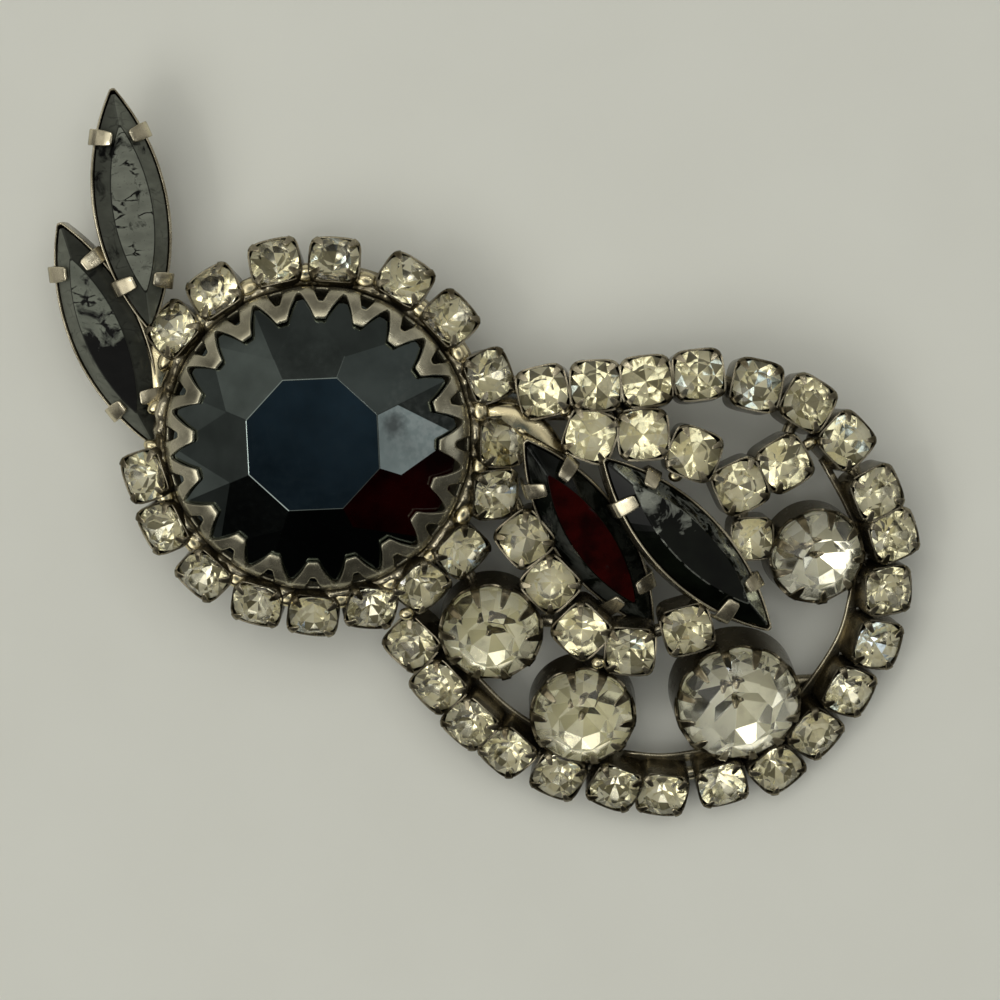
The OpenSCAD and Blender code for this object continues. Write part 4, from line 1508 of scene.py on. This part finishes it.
@dataclass
class Brooch:
    """The whole brooch: every sub-assembly, in the order in which it is built."""

    shop: Workshop
    layout: Layout = field(default_factory=Layout)
    chance: np.random.Generator = field(default_factory=lambda: np.random.default_rng(8))

    def nudged(self, seat: Seat, tilt: float) -> Seat:
        """The seat with a small chance tilt and turn, as stones sit in their cups.

        Args:
            seat: the seat.
            tilt: spread of the tilts, in degrees.

        Returns:
            The new seat.
        """
        a, b, c = self.chance.normal(0, 1, 3)
        return replace(seat, turn=seat.turn @ turn_x(tilt * a) @ turn_y(tilt * b) @ turn_z(5 * c))

    def shades(self, age: float, mirrors: float) -> Array:
        """Chance tones for a stone's facets, paler for a low age: uneven aged silvering, and also painted
        sparkle and painted shade.

        Args:
            age: how yellowed and dark the stone is, from 0 to 1.
            mirrors: the share of its facets that still mirror.

        Returns:
            A tone for each facet.
        """
        count = CutStone.facet_count
        dark = self.chance.random(count) < 0.2 + 0.25 * age
        matt = np.where(dark, 0.15, 0.34) * self.chance.random(count)
        pale = np.where(matt > 0.08, matt + 0.3, matt)
        # A few mirror facets get 1.2, a painted coloured flash.
        shine = np.where(self.chance.random(count) < 0.025, 1.2, 1.0)
        return np.where(self.chance.random(count) < mirrors, shine, pale)

    def star(self, mirrors: float) -> Array:
        """Tones for a larger stone: long foil facets light and dark by turns, and a dark star in the middle,
        painted highlights and painted shade for the fan of reflections.

        Args:
            mirrors: the share of its facets that still mirror.

        Returns:
            A tone for each facet.
        """
        count = CutStone.facet_count
        # Painted highlight and shade: long facets light and dark by turns, short ones under the table dark.
        plain = np.concatenate([np.zeros(CutStone.glass_count), np.repeat([0.54, 0.32, 0.6], 8),
                                np.tile([0.16, 0.46], 4)])
        return np.where(self.chance.random(count) < mirrors, 1.0, plain + 0.16 * self.chance.random(count))

    def small_work(self) -> None:
        """The three fields of small cups and their stones."""
        fields = (("ring", self.layout.ring_seats()), ("loop", self.layout.loop_seats()),
                  ("inner", self.layout.inner_seats()))
        shop, cup = self.shop, SmallCup()
        stone = CutStone(diameter=3.14, crown=0.6, table=1.5, band=0.1, pavilion=1.4, ridge=0.84,
                         cushion=0.11)
        for name, seats in fields:
            metal, glass = Skin(), Skin()
            for seat in seats:
                age = float(self.chance.random())
                cup.add_to(metal, seat, age, float(self.chance.normal(0, 2)))
                stone.add_to(glass, self.nudged(seat, 1.5), self.shades(age, 0.55))
            metal.make(f"{name}_cups", [shop.frame_metal], "frame_metal", "soldered_frame")
            glass.make(f"{name}_stones_cut", [shop.clear, shop.foil], "clear_glass", f"{name}_stones")

    def round_work(self) -> None:
        """The four round cups and their stones."""
        shop, metal = self.shop, Skin()
        looks = (("left", shop.aged_foil, 0.16), ("low", shop.aged_foil, 0.16),
                 ("large", shop.clear_foil, 0.3), ("right", shop.clear_foil, 0.3))
        for (name, foil, mirrors), row, seat in zip(looks, self.layout.rounds, self.layout.round_seats()):
            size = row.diameter
            RoundCup(size, row.claws, row.turn, row.missing).add_to(metal, seat, 0.5)
            stone = CutStone(diameter=size, crown=0.24 * size, table=0.48 * size, band=0.85,
                             pavilion=0.38 * size - 0.4, ridge=0.88)
            glass = Skin()
            stone.add_to(glass, self.nudged(seat, 0.5), self.star(mirrors))
            piece = glass.make(f"round_{name}_cut", [shop.clear, foil], "clear_glass", f"round_stone_{name}")
            finish_edges(piece, 0.05, 1)
        metal.make("round_cups", [shop.frame_metal], "frame_metal", "soldered_frame")

    def navette_work(self) -> None:
        """The four pointed oval cups and their stones."""
        leaf, dark_leaf, red, black = self.shop.leaf, self.shop.dark_leaf, self.shop.red, self.shop.black
        stones = (
            ("leaf_stone_upper", [leaf, leaf], "leaf_glass",
             NavetteStone(flank=(0.17, 0.3), edge=0.1, fade=(4.5, 8))),
            ("leaf_stone_lower", [dark_leaf, leaf], "leaf_glass",
             NavetteStone(flank=(0.3, 0.12), edge=0.1, fade=(-2.0, 1.8))),
            ("wing_stone_left", [red, black], "dark_red_glass",
             NavetteStone(flank=(0.09, 0.06), fade=(20, 21))),
            ("wing_stone_right", [black, black], "black_glass",
             NavetteStone(flank=(0.0, 0.4), edge=0.3, fade=(-3.5, 0))))
        metal = Skin()
        for (name, materials, slot, stone), seat in zip(stones, self.layout.navette_seats()):
            NavetteCup().add_to(metal, seat, 0.5)
            glass = Skin()
            stone.add_to(glass, seat)
            piece = glass.make(f"{name}_cut", materials, slot, name)
            finish_edges(piece, 0.04)
        metal.make("navette_cups", [self.shop.frame_metal], "frame_metal", "soldered_frame")

    def centre_work(self) -> None:
        """The big stone in its crown.

        It has one finish all over. The coating is off the lower right facets, where the red glass shows, and
        is scuffed round a place on the right of the stone.
        """
        Crown(self.layout.middle()).build(self.shop)
        seat = Seat(turn_z(2.5), self.layout.middle() + [-0.14, -0.12, 7.4])
        stone = CutStone(diameter=18.6, crown=2.75, table=8.4, band=0.25, pavilion=3.4, ridge=0.64)
        tone = np.full(stone.facet_count, 0.5)
        tone[[8, 16, 24]] = 0.0
        points = stone.rings()
        scuffed = smooth_step(3.2, 0.6, np.linalg.norm(points[:, :2] - [7.0, 0.2], axis=1))
        glass = Skin()
        glass.add(seat.put(points), stone.facets(), smooth=False, tone=tone, wear_and_shade=scuffed)
        piece = glass.make("centre_stone_cut", [self.shop.centre], "centre_glass", "centre_stone")
        finish_edges(piece, 0.06)

    def build(self) -> None:
        """Builds every piece."""
        self.small_work()
        self.round_work()
        self.navette_work()
        self.centre_work()
        Links(self.layout).build(self.shop)
        PinBack(self.layout).build(self.shop)


# Studio


@dataclass(frozen=True)
class Lamp:
    """A soft rectangular lamp that faces the brooch, mirrored in its surfaces or not.

    Its azimuth and elevation are in degrees and its sides and distance in metres.
    """

    name: str
    azimuth: float
    elevation: float
    size: tuple[float, float]
    power: float
    colour: Colour
    distance: float = 0.7
    mirrored: bool = True

    def hang(self, target: Vector) -> None:
        """Hangs the lamp.

        Args:
            target: the point that it faces.
        """
        data = bpy.data.lights.new(self.name, "AREA")
        data.shape = "RECTANGLE"
        data.size, data.size_y = self.size
        data.energy = self.power
        data.color = self.colour
        lamp = bpy.data.objects.new(self.name, data)
        lamp.visible_glossy = self.mirrored
        a, e = math.radians(self.azimuth), math.radians(self.elevation)
        towards = Vector((math.cos(a) * math.cos(e), math.sin(a) * math.cos(e), math.sin(e)))
        lamp.location = target + self.distance * towards
        lamp.rotation_euler = (target - lamp.location).to_track_quat("-Z", "Y").to_euler()
        bpy.context.scene.collection.objects.link(lamp)


@dataclass(frozen=True)
class Studio:
    """Pale floor, soft lamps and the camera that looks down at the brooch, tilted by a few degrees.

    The stops of the room are heights, as the sine of the elevation, and levels of light.
    """

    target: tuple[float, float, float] = (0.76, -2.47, 5.0)
    distance: float = 210.0
    tilt: float = 6.0
    span: float = 65.8
    sensor: float = 36.0
    floor_half: float = 0.6
    stops: Line = (
        (0.0, 0.45), (0.28, 0.45), (0.42, 0.15), (0.62, 0.14), (0.72, 1.0), (0.93, 1.15), (0.972, 1.0),
        (0.9932, 1.0), (0.9957, 3.2))
    overhead: float = 0.95
    wall_tint: Colour = (1.0, 0.985, 0.92)
    overhead_tint: Colour = (0.021, 0.033, 0.047)
    lamps: tuple[Lamp, ...] = (
        Lamp("key", -147, 49, (0.45, 0.32), 0.58, (1.0, 0.99, 0.95)),
        Lamp("fill", 75, 80, (1.6, 1.6), 0.9, (0.99, 1.0, 0.97), distance=0.8, mirrored=False),
        Lamp("table", 90, 84, (0.55, 0.55), 0.88, (0.99, 1.0, 0.97), distance=0.8, mirrored=False),
        Lamp("window", -4, 32, (0.16, 0.2), 0.1, (0.95, 0.98, 1.0)),
        Lamp("left_wall", 135, 34, (0.25, 0.2), 0.037, (1.0, 0.99, 0.9)),
        Lamp("right_wall", 45, 33, (0.25, 0.2), 0.016, (0.95, 1.0, 1.0)),
        Lamp("edge", -168, 60, (0.045, 0.045), 0.1, (1.0, 1.0, 0.98)),
        Lamp("spark_far", 112, 62, (0.045, 0.045), 0.085, (1.0, 0.98, 0.94)),
        Lamp("spark_right", 42, 52, (0.04, 0.04), 0.077, (1.0, 1.0, 1.0)),
        Lamp("spark_low", 65, 48, (0.045, 0.045), 0.056, (0.9, 0.95, 1.0)))

    def floor(self) -> None:
        """The pale tabletop."""
        half = self.floor_half
        mesh = bpy.data.meshes.new("floor")
        places = [(-half, -half, 0), (half, -half, 0), (half, half, 0), (-half, half, 0)]
        mesh.from_pydata(places, [], [(0, 1, 2, 3)])
        piece = bpy.data.objects.new("floor", mesh)
        bpy.context.scene.collection.objects.link(piece)
        material, tree, shader, coordinates = start_material("pale_table")
        grain = noise(tree, coordinates, 90.0, detail=5.0).outputs["Fac"]
        colour = blend(tree, grain, (0.72, 0.72, 0.655), (0.77, 0.775, 0.71))
        feed(tree, shader, {"Base Color": colour, "Roughness": 0.75})
        mesh.materials.append(material)

    def camera(self) -> None:
        """The camera at the photograph's angle: a full frame is span millimetres wide at the target."""
        t = math.radians(self.tilt)
        back = Vector((0, math.sin(t), math.cos(t)))
        up = Vector((0, math.cos(t), -math.sin(t)))
        side = Vector((1, 0, 0))
        place = Vector(self.target) + self.distance * back
        data = bpy.data.cameras.new("camera")
        data.sensor_width = self.sensor
        data.lens = self.sensor * self.distance / self.span
        data.clip_start = 0.01
        camera = bpy.data.objects.new("camera", data)
        turn = Matrix((side, up, back)).transposed().to_4x4()
        camera.matrix_world = Matrix.Translation(place * MM) @ turn
        bpy.context.scene.collection.objects.link(camera)
        bpy.context.scene.camera = camera

    def world(self) -> None:
        """The room: pale walls low down, dim above them, a pale ceiling ring and dark overhead.

        On the near side the lower part of the room is dark, towards the near right all of it is, and the
        walls on the right are dimmed.
        """
        world = bpy.data.worlds.new("room")
        bpy.context.scene.world = world
        world.use_nodes = True
        tree = world.node_tree
        direction = node(tree, "ShaderNodeTexCoord").outputs["Generated"]
        _, near_far, height = node(tree, "ShaderNodeSeparateXYZ", {0: direction}).outputs
        ramp = node(tree, "ShaderNodeValToRGB", {0: height})
        while len(ramp.color_ramp.elements) < len(self.stops):
            ramp.color_ramp.elements.new(0.5)
        for element, (place, value) in zip(ramp.color_ramp.elements, self.stops):
            element.position = place
            tint = self.overhead_tint if place > self.overhead else self.wall_tint
            element.color = (*scaled(tint, value), 1)
        near = ranged(tree, near_far, -0.65, -0.3, 0.05, 1.0)
        high = ranged(tree, height, 0.55, 0.7)
        aside = vectors(tree, "DOT_PRODUCT", {0: direction, 1: (0.5, -0.866, 0.0)}, "Value")
        right = vectors(tree, "DOT_PRODUCT", {0: direction, 1: (0.966, 0.259, 0.0)}, "Value")
        unlit = ranged(tree, aside, 0.2, 0.5, 1.0, 0.04)
        low = ranged(tree, height, 0.6, 0.7, 1.0, 0.0)
        dim = maths(tree, "MAXIMUM", ranged(tree, right, 0.32, 0.48, 1.0, 0.35), low)
        keep = maths(tree, "MULTIPLY", maths(tree, "MAXIMUM", near, high), unlit)
        keep = maths(tree, "MULTIPLY", keep, dim)
        level = blend(tree, keep, (0.004, 0.004, 0.004), ramp.outputs["Color"])
        feed(tree, tree.nodes["Background"], {"Color": level, "Strength": 1.0})

    def set_up(self) -> None:
        """Floor, room, camera and lamps."""
        self.floor()
        self.world()
        self.camera()
        for lamp in self.lamps:
            lamp.hang(Vector(self.target) * MM)
        bpy.context.scene.view_settings.view_transform = "Standard"


def main() -> None:
    """Builds the brooch and the studio."""
    logging.basicConfig(level=logging.INFO, format="%(name)s: %(message)s")
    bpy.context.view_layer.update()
    Brooch(Workshop()).build()
    Studio().set_up()
    bpy.context.view_layer.update()


if __name__ == "__main__":
    main()
